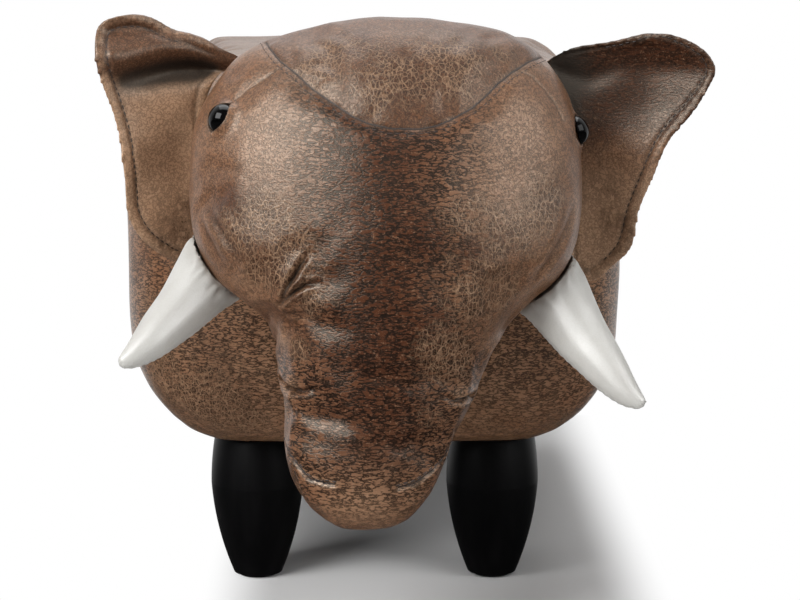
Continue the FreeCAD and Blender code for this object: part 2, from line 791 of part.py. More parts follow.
# Foam and cover of the body.
def build_body_padding(s, outside):
    under = body_form(s, s.cover_thick)
    foam = body_form(s, s.cover_thick + s.soft_gap)
    board_front = -s.body_front + s.board_inset
    board_long = s.body_length - 2 * s.board_inset
    core = Part.makeBox(
        s.board_width,
        board_long,
        s.seat_board_top - s.body_bottom,
        V(-s.board_width / 2, board_front, s.body_bottom),
    )
    seat_room = slab(s, s.seat_board_top, s.body_top + s.overrun)
    wrap_room = slab(s, 0, s.seat_board_top)
    keep_shape("seat_foam", single(foam.common(seat_room)))
    keep_shape("wrap_foam", single(foam.common(wrap_room).cut(core)))
    opening_half = s.board_width / 2 - s.turned_under
    opening_front = board_front + s.turned_under
    opening_rear = board_front + board_long - s.turned_under
    opening = Part.makeBox(
        2 * opening_half,
        opening_rear - opening_front,
        s.overrun,
        V(-opening_half, opening_front, s.body_bottom - s.overrun / 2),
    )
    cover = outside.cut(under).cut(opening)
    seam = s.body_top - s.seat_seam_drop
    keep_shape("seat_panel", single(cover.common(slab(s, seam, s.body_top + s.overrun))))
    sides = cover.common(slab(s, 0, seam))
    reach = s.body_width + s.body_length
    for name, x in (("left", 0), ("right", -reach)):
        half_space = Part.makeBox(reach, 2 * reach, 2 * reach, V(x, -reach, 0))
        keep_shape("flank_panel_" + name, single(sides.common(half_space)))
    return foam


# Place and outward direction of an eye on the head.
def eye_place(s, outside, side, drop, turned_out):
    z = s.crown_top - drop
    turn = math.radians(turned_out)
    way = V(side * math.sin(turn), -math.cos(turn), 0)
    row = min(HEAD_SHARES, key=lambda r: abs(s.trunk_tip + r[0] * (s.crown_top - s.trunk_tip) - z))
    front = -s.body_front - row[3] * s.head_depth
    back = -s.body_front - row[4] * s.head_depth
    start = V(row[2] * s.head_width, (front + back) / 2, z)
    ray = Part.LineSegment(start, start + way * s.head_width * 2).toShape()
    inside = ray.common(outside)
    spot = max((vertex.Point for vertex in inside.Vertexes), key=lambda p: (p - start).Length)
    probe = spot + way * s.eye_diameter
    seat = outside.distToShape(Part.Vertex(probe))[1][0][0]
    return seat, (probe - seat).normalize()


def build_head(s, outside):
    play = s.soft_gap
    body_room = body_form(s, -play)
    under = head_form(s, s.cover_thick)
    filling = head_form(s, s.cover_thick + play).cut(body_room)
    cover = outside.cut(under).cut(body_room)
    reach = s.body_width + s.body_length
    cheek = s.trunk_tip + s.neck_height

    eyes = []
    holes = []
    pockets = []
    for name, side, drop, turned_out in (
        ("left", 1, s.left_eye_drop, s.left_eye_turn),
        ("right", -1, s.right_eye_drop, s.right_eye_turn),
    ):
        spot, way = eye_place(s, outside, side, drop, turned_out)
        turn = FreeCAD.Rotation(V(0, 0, 1), way)
        eyes.append((name, spot, turn))
        start = spot + way * play - way * s.overrun
        holes.append(Part.makeCylinder(s.eye_shank_diameter / 2 + play, s.overrun, start, way))
        depth = s.cover_thick + s.washer_room + s.washer_thick + s.washer_room
        pocket = Part.makeCylinder(
            s.washer_diameter / 2 + s.washer_room,
            depth + play,
            spot - way * (depth + s.washer_room),
            way,
        )
        shank = Part.makeCylinder(
            s.eye_shank_diameter / 2 + play,
            s.eye_shank_length + play,
            spot - way * (s.eye_shank_length + play),
            way,
        )
        pockets += [pocket, shank]
    for pocket in pockets:
        filling = filling.cut(pocket)
    for hole in holes:
        cover = cover.cut(hole)
    keep_shape("head_stuffing", single(filling.common(slab(s, cheek, s.crown_top + s.overrun))))
    keep_shape("trunk_stuffing", single(filling.common(slab(s, 0, cheek))))

    front_y = -s.body_front - s.head_depth - s.overrun
    centre_z = s.crown_top - s.crown_seam_drop + s.crown_seam_radius
    crown_axis = V(s.crown_seam_side, front_y, centre_z)
    crown = Part.makeCylinder(s.crown_seam_radius, reach, crown_axis, V(0, 1, 0))
    crown_room = Part.makeCylinder(s.crown_seam_radius + play, reach, crown_axis, V(0, 1, 0))
    keep_shape("crown_panel", single(cover.common(crown)))
    rest = cover.cut(crown_room)
    chin_y = -s.body_front - s.head_depth + s.chin_seam_depth
    behind = Part.makeBox(2 * reach, reach, cheek, V(-reach, chin_y, 0))
    keep_shape("chin_panel", single(rest.common(behind)))
    rest = rest.cut(behind)
    tip_x = HEAD_SHARES[-2][2] * s.head_width
    tip_z = s.trunk_tip + s.tip_seam_rise + s.tip_seam_radius
    tip_axis = V(tip_x, front_y, tip_z)
    above = Part.makeCylinder(s.tip_seam_radius, reach, tip_axis, V(0, 1, 0))
    above_room = Part.makeCylinder(s.tip_seam_radius + play, reach, tip_axis, V(0, 1, 0))
    ends = tip_z - s.tip_seam_radius / 2
    tip_slab = slab(s, 0, ends)
    keep_shape("trunk_tip_panel", single(rest.common(tip_slab).cut(above_room)))
    face = rest.cut(tip_slab).fuse(rest.common(tip_slab).common(above))
    keep_shape("face_panel", single(face.removeSplitter()))

    for name, spot, turn in eyes:
        eye = turned("eye_" + name, [
            ("0", "-#eye_shank_length"),
            ("#eye_shank_diameter / 2", "-#eye_shank_length"),
            ("#eye_shank_diameter / 2", "0"),
            ("#eye_diameter / 2", "0",
             "(#eye_diameter ^ 2 / 4 + #eye_height ^ 2) / (2 * #eye_height)"),
            ("0", "#eye_height"),
        ])
        lift = turn.multVec(V(0, 0, play))
        keep(eye, "eye_" + name, FreeCAD.Placement(spot + lift + origin_shift, turn))
        washer = turned("eye_washer_" + name, [
            ("#eye_shank_diameter / 2 + #fit_clearance", "0"),
            ("#washer_diameter / 2", "0"),
            ("#washer_diameter / 2", "#washer_thick"),
            ("#eye_shank_diameter / 2 + #fit_clearance", "#washer_thick"),
        ])
        back = turn.multVec(V(0, 0, -s.cover_thick - s.washer_room - s.washer_thick))
        keep(washer, "eye_washer_" + name,
             FreeCAD.Placement(spot + back + origin_shift, turn))


def build_tusks(s, head_room):
    height = s.crown_top - s.trunk_tip
    for name, side, shares in (
        ("left", 1, LEFT_TUSK_SHARES),
        ("right", -1, RIGHT_TUSK_SHARES),
    ):
        aside, up, reach, drop = shares
        start = V(
            aside * s.head_width,
            -s.body_front - s.head_depth / 2 - s.cover_thick * 4,
            s.trunk_tip + up * height,
        )
        outer = tusk_form(s, start, side, (reach, drop), 0)
        inner = tusk_form(s, start, side, (reach, drop), s.cover_thick)
        fill = tusk_form(s, start, side, (reach, drop), s.cover_thick + s.soft_gap)
        keep_shape("tusk_cover_" + name, single(outer.cut(inner).cut(head_room)))
        keep_shape("tusk_stuffing_" + name, single(fill.cut(head_room)))


# The ear's root lies against the side of the head.
def ear_root(s, outside, side, top):
    y = -s.body_front - s.ear_setback
    low = top - s.ear_height
    reach = s.body_width
    band = Part.makeBox(
        reach,
        s.ear_rim_thick,
        s.ear_height,
        V(0 if side > 0 else -reach, y - s.ear_rim_thick / 2, low),
    )
    box = outside.common(band).optimalBoundingBox(False, False)
    x = box.XMax + s.ear_root_gap if side > 0 else box.XMin - s.ear_root_gap
    return V(x, y, low)


def build_ears(s, roots):
    for name, side, rows in (("left", 1, LEFT_EAR_SHARES), ("right", -1, RIGHT_EAR_SHARES)):
        front, back, fill = ear_pieces(s, rows, side, roots[name])
        keep_shape("ear_front_cover_" + name, front)
        keep_shape("ear_back_cover_" + name, back)
        keep_shape("ear_padding_" + name, fill)


# Tail: a flat strap that swings from the rear of the body, and its tassel.
def build_tail(s):
    rear = s.body_length - s.body_front
    root = V(0, rear + s.soft_gap + s.tail_thick / 2, s.body_top - s.tail_drop)
    lean = math.asin((s.tassel_diameter - s.tail_thick) / 2 / s.tail_length)
    place = FreeCAD.Placement(root + origin_shift, FreeCAD.Rotation(V(1, 0, 0), math.degrees(lean)))
    half = "#tail_thick / 2"
    strap = padded("tail_strap", "YZ_Plane", [
        ("-" + half, "-#tail_length"),
        (half, "-#tail_length"),
        (half, "0", half),
        ("0", half, half),
        ("-" + half, "0"),
    ], "#tail_width", middle=True)
    keep(strap, "tail_strap", place)
    tassel = turned("tail_tassel", [
        ("0", "-#tassel_length"),
        ("#tassel_end_diameter / 2", "-#tassel_length", "#tassel_length * 1.4"),
        ("#tassel_diameter / 2", "-#tassel_length * 0.4", "#tassel_diameter * 1.1"),
        ("#tail_end_width / 2", "0"),
        ("0", "0"),
    ])
    low = place.multVec(V(0, 0, -s.tail_length))
    keep(tassel, "tail_tassel", FreeCAD.Placement(low, place.Rotation))
    return root


def widest(rows, s, root_x, side):
    return root_x + side * max(row[2] for row in rows) * s.ear_width


fill_sheet()
s = read_sheet()
s.body_bottom = s.glide_height + s.leg_height + s.cloth_thick
s.body_top = s.body_bottom + s.body_height
s.crown_top = s.body_top + s.crown_rise
s.trunk_tip = s.body_bottom - s.trunk_drop
s.board_low = s.body_bottom + s.cover_thick
s.seat_board_top = s.body_top - s.seat_board_depth
s.front_leg_y = -s.body_front + s.front_leg_setback
s.rear_leg_y = s.body_length - s.body_front - s.rear_leg_setback
frame_front = -s.body_front + s.board_inset + s.rib_thick / 2
frame_rear = s.body_length - s.body_front - s.board_inset - s.rib_thick / 2
s.rib_places = (frame_front, (frame_front + frame_rear) / 2, frame_rear)

head_outside = head_form(s, 0)
ear_tops = {"left": s.crown_top - s.left_ear_drop, "right": s.crown_top + s.right_ear_rise}
roots = {
    name: ear_root(s, head_outside, side, ear_tops[name])
    for name, side in (("left", 1), ("right", -1))
}

# The zero point is the middle of the stool's outline on the floor.
left_reach = widest(LEFT_EAR_SHARES, s, roots["left"].x, 1)
right_reach = widest(RIGHT_EAR_SHARES, s, roots["right"].x, -1)
foremost = -s.body_front - max(row[3] for row in HEAD_SHARES) * s.head_depth
rearmost = s.body_length - s.body_front + s.soft_gap + s.tassel_diameter
origin_shift = V(-(left_reach + right_reach) / 2, -(foremost + rearmost) / 2, 0)

body_outside = body_form(s, 0)
legs = build_legs(s)
build_fasteners(s, legs)
build_frame(s, legs)
build_cloth(s, legs)
build_body_padding(s, body_outside)
build_head(s, head_outside)
build_tusks(s, head_form(s, -s.soft_gap))
build_ears(s, roots)
tail_root = build_tail(s)
doc.recompute()

os.makedirs("parts", exist_ok=True)
for thing in doc.Objects:
    if "Invalid" in thing.State or "Error" in thing.State:
        raise RuntimeError("%s is %s" % (thing.Label, thing.State))
for node in nodes:
    if node.Shape.isNull() or not node.Shape.isValid():
        raise RuntimeError("%s has no valid shape" % node.Label)
for node in nodes:
    node.Shape.exportStep("parts/%s.step" % node.Label)

print("%d sub-parts" % len(nodes))
print("zero point moved by", origin_shift)
for name in ("left", "right"):
    print("root of the %s ear" % name, roots[name] + origin_shift)
print("root of the tail", tail_root + origin_shift)
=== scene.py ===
import math
from contextlib import contextmanager
import bmesh
import bpy
import numpy as np
from mathutils import Euler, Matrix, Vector, noise
from mathutils.bvhtree import BVHTree


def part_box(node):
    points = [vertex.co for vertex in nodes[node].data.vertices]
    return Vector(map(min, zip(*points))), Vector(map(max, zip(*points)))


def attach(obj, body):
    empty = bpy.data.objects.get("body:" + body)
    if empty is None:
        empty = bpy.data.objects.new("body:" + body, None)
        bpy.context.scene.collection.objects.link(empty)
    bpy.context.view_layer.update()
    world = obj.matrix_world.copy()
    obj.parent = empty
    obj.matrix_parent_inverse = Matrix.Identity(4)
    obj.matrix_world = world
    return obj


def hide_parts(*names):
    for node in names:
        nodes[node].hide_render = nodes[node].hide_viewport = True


# Elephant footstool in distressed brown artificial leather, seen from the front.
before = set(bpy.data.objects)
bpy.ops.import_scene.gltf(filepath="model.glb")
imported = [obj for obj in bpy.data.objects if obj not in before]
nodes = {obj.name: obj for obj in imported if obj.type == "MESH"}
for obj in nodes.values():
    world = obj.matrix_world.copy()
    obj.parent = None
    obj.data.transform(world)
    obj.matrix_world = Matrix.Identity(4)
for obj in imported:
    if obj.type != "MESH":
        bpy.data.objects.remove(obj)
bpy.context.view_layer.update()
print("frame loaded")


def placed(name, data):
    thing = bpy.data.objects.new(name, data)
    bpy.context.scene.collection.objects.link(thing)
    return thing


# camera: a long lens a little above the crown, turned slightly to the right
cameraPlan = {"place": (-0.01925, -1.54263, 0.415), "down": 9.2147, "right": 0.65, "lens": 102.573}
cameraData = bpy.data.cameras.new("photoCamera")
cameraData.lens = cameraPlan["lens"]
cameraData.sensor_width = 36
camera = placed("photoCamera", cameraData)
camera.location = cameraPlan["place"]
camera.rotation_euler = (math.radians(90 - cameraPlan["down"]), 0, -math.radians(cameraPlan["right"]))
bpy.context.scene.camera = camera


def sight(across, down):
    # the camera's ray through a point of the 800 by 600 picture
    turn = Euler(camera.rotation_euler).to_matrix()
    focal = cameraPlan["lens"] / 36 * 800
    return Vector(cameraPlan["place"]), (turn @ Vector((across - 400, 300 - down, -focal))).normalized()


# ---- node trees


class Sock:
    # wraps a socket, so that masks are written as plain maths
    def __init__(self, graph, out):
        self.graph = graph
        self.out = out

    def maths(self, operation, other=None, flip=False):
        values = [self] if other is None else [self, other]
        if flip:
            values.reverse()
        return self.graph.node("ShaderNodeMath", {"operation": operation}, dict(enumerate(values)))

    def __add__(self, other): return self.maths("ADD", other)
    def __radd__(self, other): return self.maths("ADD", other)
    def __sub__(self, other): return self.maths("SUBTRACT", other)
    def __rsub__(self, other): return self.maths("SUBTRACT", other, flip=True)
    def __mul__(self, other): return self.maths("MULTIPLY", other)
    def __rmul__(self, other): return self.maths("MULTIPLY", other)

    def between(self, low, high):
        # 0 below low, 1 above high, smooth in between
        sockets = {"Value": self, "From Min": low, "From Max": high}
        return self.graph.node("ShaderNodeMapRange", {"interpolation_type": "SMOOTHSTEP"}, sockets)


class Graph:
    # a node tree under construction
    def __init__(self, tree):
        self.tree = tree
        self.tree.nodes.clear()

    def node(self, kind, settings, sockets, output=0):
        made = self.tree.nodes.new(kind)
        for key, value in settings.items():
            setattr(made, key, value)
        for key, value in sockets.items():
            if isinstance(value, Sock):
                self.tree.links.new(value.out, made.inputs[key])
            else:
                made.inputs[key].default_value = value
        return Sock(self, made.outputs[output])

    def ended(self, result, kind="ShaderNodeOutputMaterial"):
        end = self.tree.nodes.new(kind)
        self.tree.links.new(result.out, end.inputs[0])


class Finish(Graph):
    # a material, or the world
    def __init__(self, name, kind="materials"):
        self.made = getattr(bpy.data, kind).new(name)
        self.made.use_nodes = True
        super().__init__(self.made.node_tree)

    def place(self, scale, stretch=(1, 1, 1)):
        start = self.node("ShaderNodeTexCoord", {}, {}, "Object")
        scales = tuple(scale * part for part in stretch)
        return self.node("ShaderNodeMapping", {}, {"Vector": start, "Scale": scales})

    def bent(self, scale, reach, stretch=(1, 1, 1)):
        # a position that wanders a little, so that cells don't look drawn
        start = self.place(scale, stretch)
        drift = self.node("ShaderNodeTexNoise", {}, {"Vector": start, "Scale": 0.7, "Detail": 2}, 1)
        return self.node("ShaderNodeVectorMath", {"operation": "MULTIPLY_ADD"}, {0: drift, 1: (reach,) * 3, 2: start})

    def noise(self, scale, detail=3, rough=0.55, stretch=(1, 1, 1)):
        sockets = {"Vector": self.place(scale, stretch), "Scale": 1, "Detail": detail, "Roughness": rough}
        return self.node("ShaderNodeTexNoise", {}, sockets)

    def cells(self, scale, reach, edge=True, stretch=(1, 1, 1)):
        feature = "DISTANCE_TO_EDGE" if edge else "F1"
        bent = self.bent(scale, reach, stretch)
        return self.node("ShaderNodeTexVoronoi", {"feature": feature}, {"Vector": bent, "Scale": 1})

    def mixed(self, mask, first, second):
        # mask 0 gives the first colour, 1 gives the second
        return self.node("ShaderNodeMix", {"data_type": "RGBA"}, {0: mask, 6: first, 7: second}, 2)

    def mark(self, name):
        return self.node("ShaderNodeAttribute", {"attribute_name": name}, {}, "Fac")

    def done(self, colour, rough, height, strength, distance, **gloss):
        bump = self.node("ShaderNodeBump", {}, {"Strength": strength, "Distance": distance, "Height": height})
        sockets = {"Base Color": colour, "Roughness": rough, "Normal": bump, **gloss}
        self.ended(self.node("ShaderNodeBsdfPrincipled", {}, sockets))
        return self.made


def seen(red, green, blue):
    # a colour as the eye gives it, 0 to 255, turned into the linear light of a socket
    def part(value):
        value /= 255
        return value / 12.92 if value < 0.04 else ((value + 0.055) / 1.055) ** 2.4

    return (part(red), part(green), part(blue), 1)


# ---- finishes

leatherPlan = {
    "tan": seen(148, 110, 82), "brown": seen(118, 78, 53), "umber": seen(80, 44, 25),
    "deep": seen(20, 8, 3), "pale": seen(184, 148, 118),
    "grain": 440, "vein": 320, "patch": 11,
}


def brownLeather():
    f = Finish("brownLeather")
    plan = leatherPlan
    patch = f.noise(plan["patch"], 4, 0.6)
    cloud = f.noise(plan["patch"] * 6, 5, 0.65)
    blotch = f.noise(plan["patch"] * 4.5, 4, 0.7)
    fine = f.noise(plan["grain"] * 1.7, 2, 0.6)
    grain = f.noise(plan["grain"], 3, 0.6)
    coarse = f.noise(plan["grain"] * 0.5, 3, 0.7)
    flow = f.noise(plan["grain"], 3, 0.6, stretch=(0.4, 0.4, 1.15))
    stretch = (1.2, 1.2, 0.68)
    vein = f.cells(plan["vein"], 1.1, stretch=stretch)
    wideVein = f.cells(plan["vein"] * 0.45, 1.2, stretch=stretch)
    fineVein = f.cells(plan["vein"] * 1.9, 1.4, stretch=(1, 1, 0.8))
    dye = f.cells(plan["vein"], 1.1, edge=False, stretch=stretch)
    wrinkle = f.mark("wrinkle").between(0.1, 0.9)
    veinArea = (f.mark("vein") + (cloud - 0.5) * 1.5 + (coarse - 0.5) * 0.9).between(0.3, 0.9)
    # fine worm-like pits, drawn out sideways over the trunk
    round_ = (grain - 0.5).maths("ABSOLUTE").between(0.01, 0.09)
    drawn = (flow - 0.5).maths("ABSOLUTE").between(0.014, 0.095)
    pits = round_ * (1 - wrinkle) + drawn * wrinkle
    lines = (1 - vein.between(0.02, 0.12)) * veinArea
    fineLines = (1 - fineVein.between(0.02, 0.16)) * veinArea
    wideLines = (1 - wideVein.between(0.01, 0.05)) * veinArea
    # the leather's own tone, in patches of brown and tan
    shade = patch.between(0.32, 0.7) * 0.4 + cloud.between(0.3, 0.7) * 0.6
    colour = f.mixed(shade, plan["brown"], plan["tan"])
    # darker dye and blotches, and painted shade down the front of the face and trunk and over the upper part of the
    # left ear
    umberAndShade = f.mark("dark") + (cloud - 0.5) * 0.9 + (coarse - 0.5) * 0.5
    colour = f.mixed(umberAndShade.between(0.05, 1.0), colour, plan["umber"])
    colour = f.mixed(blotch.between(0.56, 0.7) * (0.15 + f.mark("vein") * 0.5), colour, seen(52, 30, 20))
    # lighter where rubbed, and painted light: highlights on the folds' lips, sheen on the trunk, light on the ears
    colour = f.mixed((f.mark("wear") * (0.45 + cloud * 0.7)).between(0, 1), colour, plan["pale"])
    colour = f.mixed(veinArea * (0.25 + dye.between(0.1, 0.6) * 0.5), colour, seen(58, 33, 21))
    colour = f.mixed((1 - pits) * (0.62 + wrinkle * 0.38) * (1 - f.mark("wear") * 0.35), colour, plan["deep"])
    colour = f.mixed(fine.between(0.55, 0.72) * pits * 0.3, colour, plan["pale"])
    crackle = lines * 0.5 + fineLines * 0.16 + wideLines * 0.35
    colour = f.mixed(crackle.maths("MINIMUM", 1), colour, seen(150, 117, 90))
    # near black: seam lines, and painted shade in folds, grooves and where the leather laps over the eyes
    colour = f.mixed(f.mark("crease") * 0.92, colour, seen(16, 8, 5))
    height = pits * 0.8 + lines * 0.4 + cloud * 0.6 + coarse * 0.3
    rough = 0.36 - pits * 0.03 + f.mark("crease") * 0.3 - wrinkle * 0.04
    gloss = {"Specular IOR Level": 0.42, "Specular Tint": (1, 0.88, 0.74, 1)}
    return f.done(colour, rough, height, 0.26, 0.0005, **gloss)


def whiteLeather():
    f = Finish("whiteLeather")
    grain = f.noise(1100, 2, 0.6)
    patch = f.noise(26, 3)
    colour = f.mixed(patch.between(0.3, 0.7), seen(190, 188, 183), seen(205, 204, 199))
    colour = f.mixed((1 - grain.between(0.3, 0.6)) * 0.16, colour, seen(176, 170, 160))
    # darker grey: painted shade where the tusk meets the head and in its gathers
    colour = f.mixed(f.mark("crease") * 0.7, colour, seen(150, 138, 126))
    return f.done(colour, 0.46 - grain * 0.08, grain, 0.3, 0.0003)


def blackWood():
    f = Finish("blackWood")
    grain = f.noise(60, 4, 0.6, stretch=(1, 1, 0.08))
    speck = f.noise(700, 2)
    colour = f.mixed(grain.between(0.35, 0.7), seen(7, 7, 8), seen(15, 14, 15))
    return f.done(colour, 0.34 + grain * 0.1, grain + speck * 0.3, 0.2, 0.0003, **{"Specular IOR Level": 0.1})


def zincSteel():
    f = Finish("zincSteel")
    spangle = f.cells(420, 0.2, edge=False)
    colour = f.mixed(spangle.between(0.1, 0.7), seen(150, 152, 156), seen(196, 198, 202))
    return f.done(colour, 0.3 + spangle * 0.2, spangle, 0.1, 0.0002, Metallic=1.0)


def plywood():
    f = Finish("plywood")
    rings = f.noise(30, 5, 0.6, stretch=(1, 0.12, 1))
    plies = f.noise(700, 1, stretch=(0.02, 0.02, 1))
    colour = f.mixed(rings.between(0.35, 0.68), seen(196, 160, 116), seen(222, 190, 148))
    colour = f.mixed(plies.between(0.5, 0.56) * 0.5, colour, seen(150, 112, 76))
    return f.done(colour, 0.62 + rings * 0.1, rings, 0.3, 0.0004)


def blackCloth():
    f = Finish("blackCloth")
    fibre = f.noise(900, 4, 0.7, stretch=(1, 0.5, 1))
    bond = f.cells(620, 0.1, edge=False)
    colour = f.mixed(fibre.between(0.35, 0.65), seen(16, 16, 17), seen(38, 38, 40))
    colour = f.mixed(1 - bond.between(0.1, 0.3), colour, seen(12, 12, 12))
    return f.done(colour, 0.85 + fibre * 0.1, fibre + bond, 0.5, 0.0003)


def plain(name, noise, span, dark, light, rough, bump, **gloss):
    # one noise gives the colour, the roughness and the relief
    f = Finish(name)
    grain = f.noise(*noise)
    colour = f.mixed(grain.between(*span), seen(*dark), seen(*light))
    return f.done(colour, rough[0] + grain * rough[1], grain, *bump, **gloss)


finishes = {
    "brown_leather": brownLeather(), "white_leather": whiteLeather(), "black_wood": blackWood(),
    "zinc_steel": zincSteel(), "plywood": plywood(), "black_cloth": blackCloth(),
    "black_plastic": plain(
        "blackPlastic", (1500, 2), (0.3, 0.7), (22, 22, 23), (34, 34, 35), (0.5, 0.12), (0.3, 0.0002),
    ),
    "eye_gloss": plain(
        "eyeGloss", (160,), (0.4, 0.8), (3, 3, 3), (9, 7, 7), (0.04, 0.03), (0.03, 0.0002),
        **{"Specular IOR Level": 0.22},
    ),
    "softwood": plain(
        "softwood", (42, 5, 0.6, (0.14, 1, 1)),
        (0.35, 0.66), (206, 168, 120), (232, 202, 158), (0.6, 0.1), (0.3, 0.0004),
    ),
    "thread": plain(
        "sewingThread", (1400, 2, 0.55, (1, 1, 0.4)),
        (0.35, 0.65), (30, 18, 12), (56, 37, 27), (0.6, 0.15), (0.4, 0.0002),
    ),
}
corners = ["front_left", "front_right", "rear_left", "rear_right"]
slotNodes = {
    "plywood": ["base_board", "seat_board", "rib_front", "rib_middle", "rib_rear"],
    "softwood": ["rail_left", "rail_right"],
    "black_wood": ["leg_" + corner for corner in corners],
    "black_plastic": ["glide_" + corner for corner in corners] + ["eye_washer_left", "eye_washer_right"],
    "zinc_steel": ["frame_screws", "hanger_bolts", "flanged_nuts"],
    "black_cloth": ["base_cloth"],
    "eye_gloss": ["eye_left", "eye_right"],
}
for slot, names in slotNodes.items():
    for name in names:
        for place in nodes[name].material_slots:
            place.material = finishes[slot]
print("finishes made")

# ---- mesh helpers


def readOut(things, field, width, kind=float):
    flat = np.empty(len(things) * width, dtype=kind)
    things.foreach_get(field, flat)
    return flat.reshape(-1, width)


def coords(mesh):
    return readOut(mesh.vertices, "co", 3)


def normals(mesh):
    return readOut(mesh.vertex_normals, "vector", 3)


def moved(mesh, places):
    mesh.vertices.foreach_set("co", places.ravel())
    mesh.update()


def marked(mesh, **masks):
    # masks that the finishes read, one number or one value per point
    for name, values in masks.items():
        made = mesh.attributes.new(name, "FLOAT", "POINT")
        values = np.broadcast_to(values, len(mesh.vertices))
        made.data.foreach_set("value", np.clip(values, 0, 1).astype(np.float32))


def relaxed(mesh, rounds):
    # evens out the small steps of a remesh without shrinking the form
    places = coords(mesh)
    pairs = readOut(mesh.edges, "vertices", 2, np.int64)
    count = np.maximum(np.bincount(pairs.ravel(), minlength=len(places)), 1)[:, None]
    for turn in range(rounds):
        for part in (0.5, -0.515):
            total = np.zeros_like(places)
            np.add.at(total, pairs[:, 0], places[pairs[:, 1]])
            np.add.at(total, pairs[:, 1], places[pairs[:, 0]])
            places = places + (total / count - places) * part
    moved(mesh, places)


@contextmanager
def edited(mesh):
    made = bmesh.new()
    made.from_mesh(mesh)
    yield made
    made.to_mesh(mesh)
    made.free()


def joined(names):
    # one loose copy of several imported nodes, their doubles merged
    mesh = bpy.data.meshes.new("joined")
    with edited(mesh) as made:
        for name in names:
            made.from_mesh(nodes[name].data)
        bmesh.ops.remove_doubles(made, verts=made.verts, dist=1e-6)
    return mesh


def outerShell(mesh):
    # keeps the largest island of a remesh, which is the outer skin
    with edited(mesh) as made:
        left, best = set(made.verts), set()
        while left:
            queue = [left.pop()]
            island = set(queue)
            while queue:
                near = {vert for edge in queue.pop().link_edges for vert in edge.verts} & left
                left -= near
                island |= near
                queue += near
            if len(island) > len(best):
                best = island
        bmesh.ops.delete(made, geom=[vert for vert in made.verts if vert not in best], context="VERTS")


def finished(thing):
    # the evaluated mesh of an object whose modifiers then go
    scene = bpy.context.evaluated_depsgraph_get()
    mesh = bpy.data.meshes.new_from_object(thing.evaluated_get(scene))
    thing.modifiers.clear()
    thing.data = mesh


def remeshed(name, sources, step, finish="brown_leather"):
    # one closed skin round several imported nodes
    thing = placed(name, joined(sources))
    modifier = thing.modifiers.new("remesh", "REMESH")
    modifier.mode = "VOXEL"
    modifier.voxel_size = step
    finished(thing)
    outerShell(thing.data)
    thing.data.materials.append(finishes[finish])
    relaxed(thing.data, 4)
    return thing


def divided(thing):
    modifier = thing.modifiers.new("divide", "SUBSURF")
    modifier.levels = 1
    finished(thing)


def treeOf(thing):
    return BVHTree.FromPolygons([v.co for v in thing.data.vertices], [p.vertices for p in thing.data.polygons])


def hitsOf(tree, rays):
    # where rays meet a surface, without those that miss it
    found = [tree.ray_cast(Vector(start), Vector(way))[0] for start, way in rays]
    return np.array([hit for hit in found if hit is not None])


def lineOn(tree, picture, steps=6):
    # a run of points on a surface under a line drawn on the picture
    run = [
        (ax + (bx - ax) * part / steps, ay + (by - ay) * part / steps)
        for (ax, ay), (bx, by) in zip(picture, picture[1:]) for part in range(steps)
    ]
    return hitsOf(tree, [sight(*spot) for spot in run + [picture[-1]]])


def awayFrom(places, path):
    # distance of every point to a run of points, and how far along the run it is, 0 to 1
    best = np.full(len(places), 9.0)
    along = np.zeros(len(places))
    count = len(path) - 1
    for index in range(count):
        start, step = path[index], path[index + 1] - path[index]
        share = np.clip(((places - start) @ step) / max(step @ step, 1e-12), 0, 1)
        away = np.linalg.norm(places - start - share[:, None] * step, axis=1)
        closer = away < best
        best[closer] = away[closer]
        along[closer] = (index + share[closer]) / count
    return best, along


def bell(distance, width):
    return np.exp(-((distance / width) ** 2))


def ease(value, low, high):
    share = np.clip((value - low) / (high - low), 0, 1)
    return share * share * (3 - 2 * share)


def wander(places, scale, seed=0.0):
    return np.array([noise.noise(Vector(p) * scale + Vector((seed, seed * 2, -seed))) for p in places])


def spotsOn(tree, places, spots):
    # soft round areas, each given by a point of the picture, a radius in metres and a strength
    total = np.zeros(len(places))
    for across, down, radius, strength in spots:
        hit = tree.ray_cast(*sight(across, down))[0]
        if hit is not None:
            total = np.maximum(total, strength * bell(np.linalg.norm(places - np.array(hit), axis=1), radius))
    return total


def refined(mesh, paths, reach, cuts):
    # finer faces beside the seams
    with edited(mesh) as made:
        middles = np.array([(edge.verts[0].co + edge.verts[1].co) / 2 for edge in made.edges])
        near = np.any([awayFrom(middles, path)[0] < reach for path in paths], axis=0)
        picked = [edge for edge, close in zip(made.edges, near) if close]
        bmesh.ops.subdivide_edges(made, edges=picked, cuts=cuts, use_grid_fill=True)
        bmesh.ops.triangulate(made, faces=[face for face in made.faces if len(face.verts) > 4])


def swelled(thing, hold, reach, pressure, slack):
    # a short run of cloth under air pressure: the cover swells where nothing holds it
    start = coords(thing.data)
    group = thing.vertex_groups.new(name="hold")
    for index in np.nonzero(hold > 0.02)[0]:
        group.add([int(index)], float(min(hold[index], 1)), "REPLACE")
    modifier = thing.modifiers.new("cloth", "CLOTH")
    settings = modifier.settings
    settings.vertex_group_mass = "hold"
    settings.quality = 4
    settings.use_pressure = True
    settings.uniform_pressure_force = pressure
    settings.shrink_min = -slack
    settings.effector_weights.gravity = 0
    modifier.point_cache.frame_start = 1
    modifier.point_cache.frame_end = 20
    for step in range(1, 21):
        bpy.context.scene.frame_set(step)
    finished(thing)
    bpy.context.scene.frame_set(1)
    move = coords(thing.data) - start
    length = np.linalg.norm(move, axis=1)
    moved(thing.data, start + move * np.minimum(1, reach / np.maximum(length, 1e-9))[:, None])


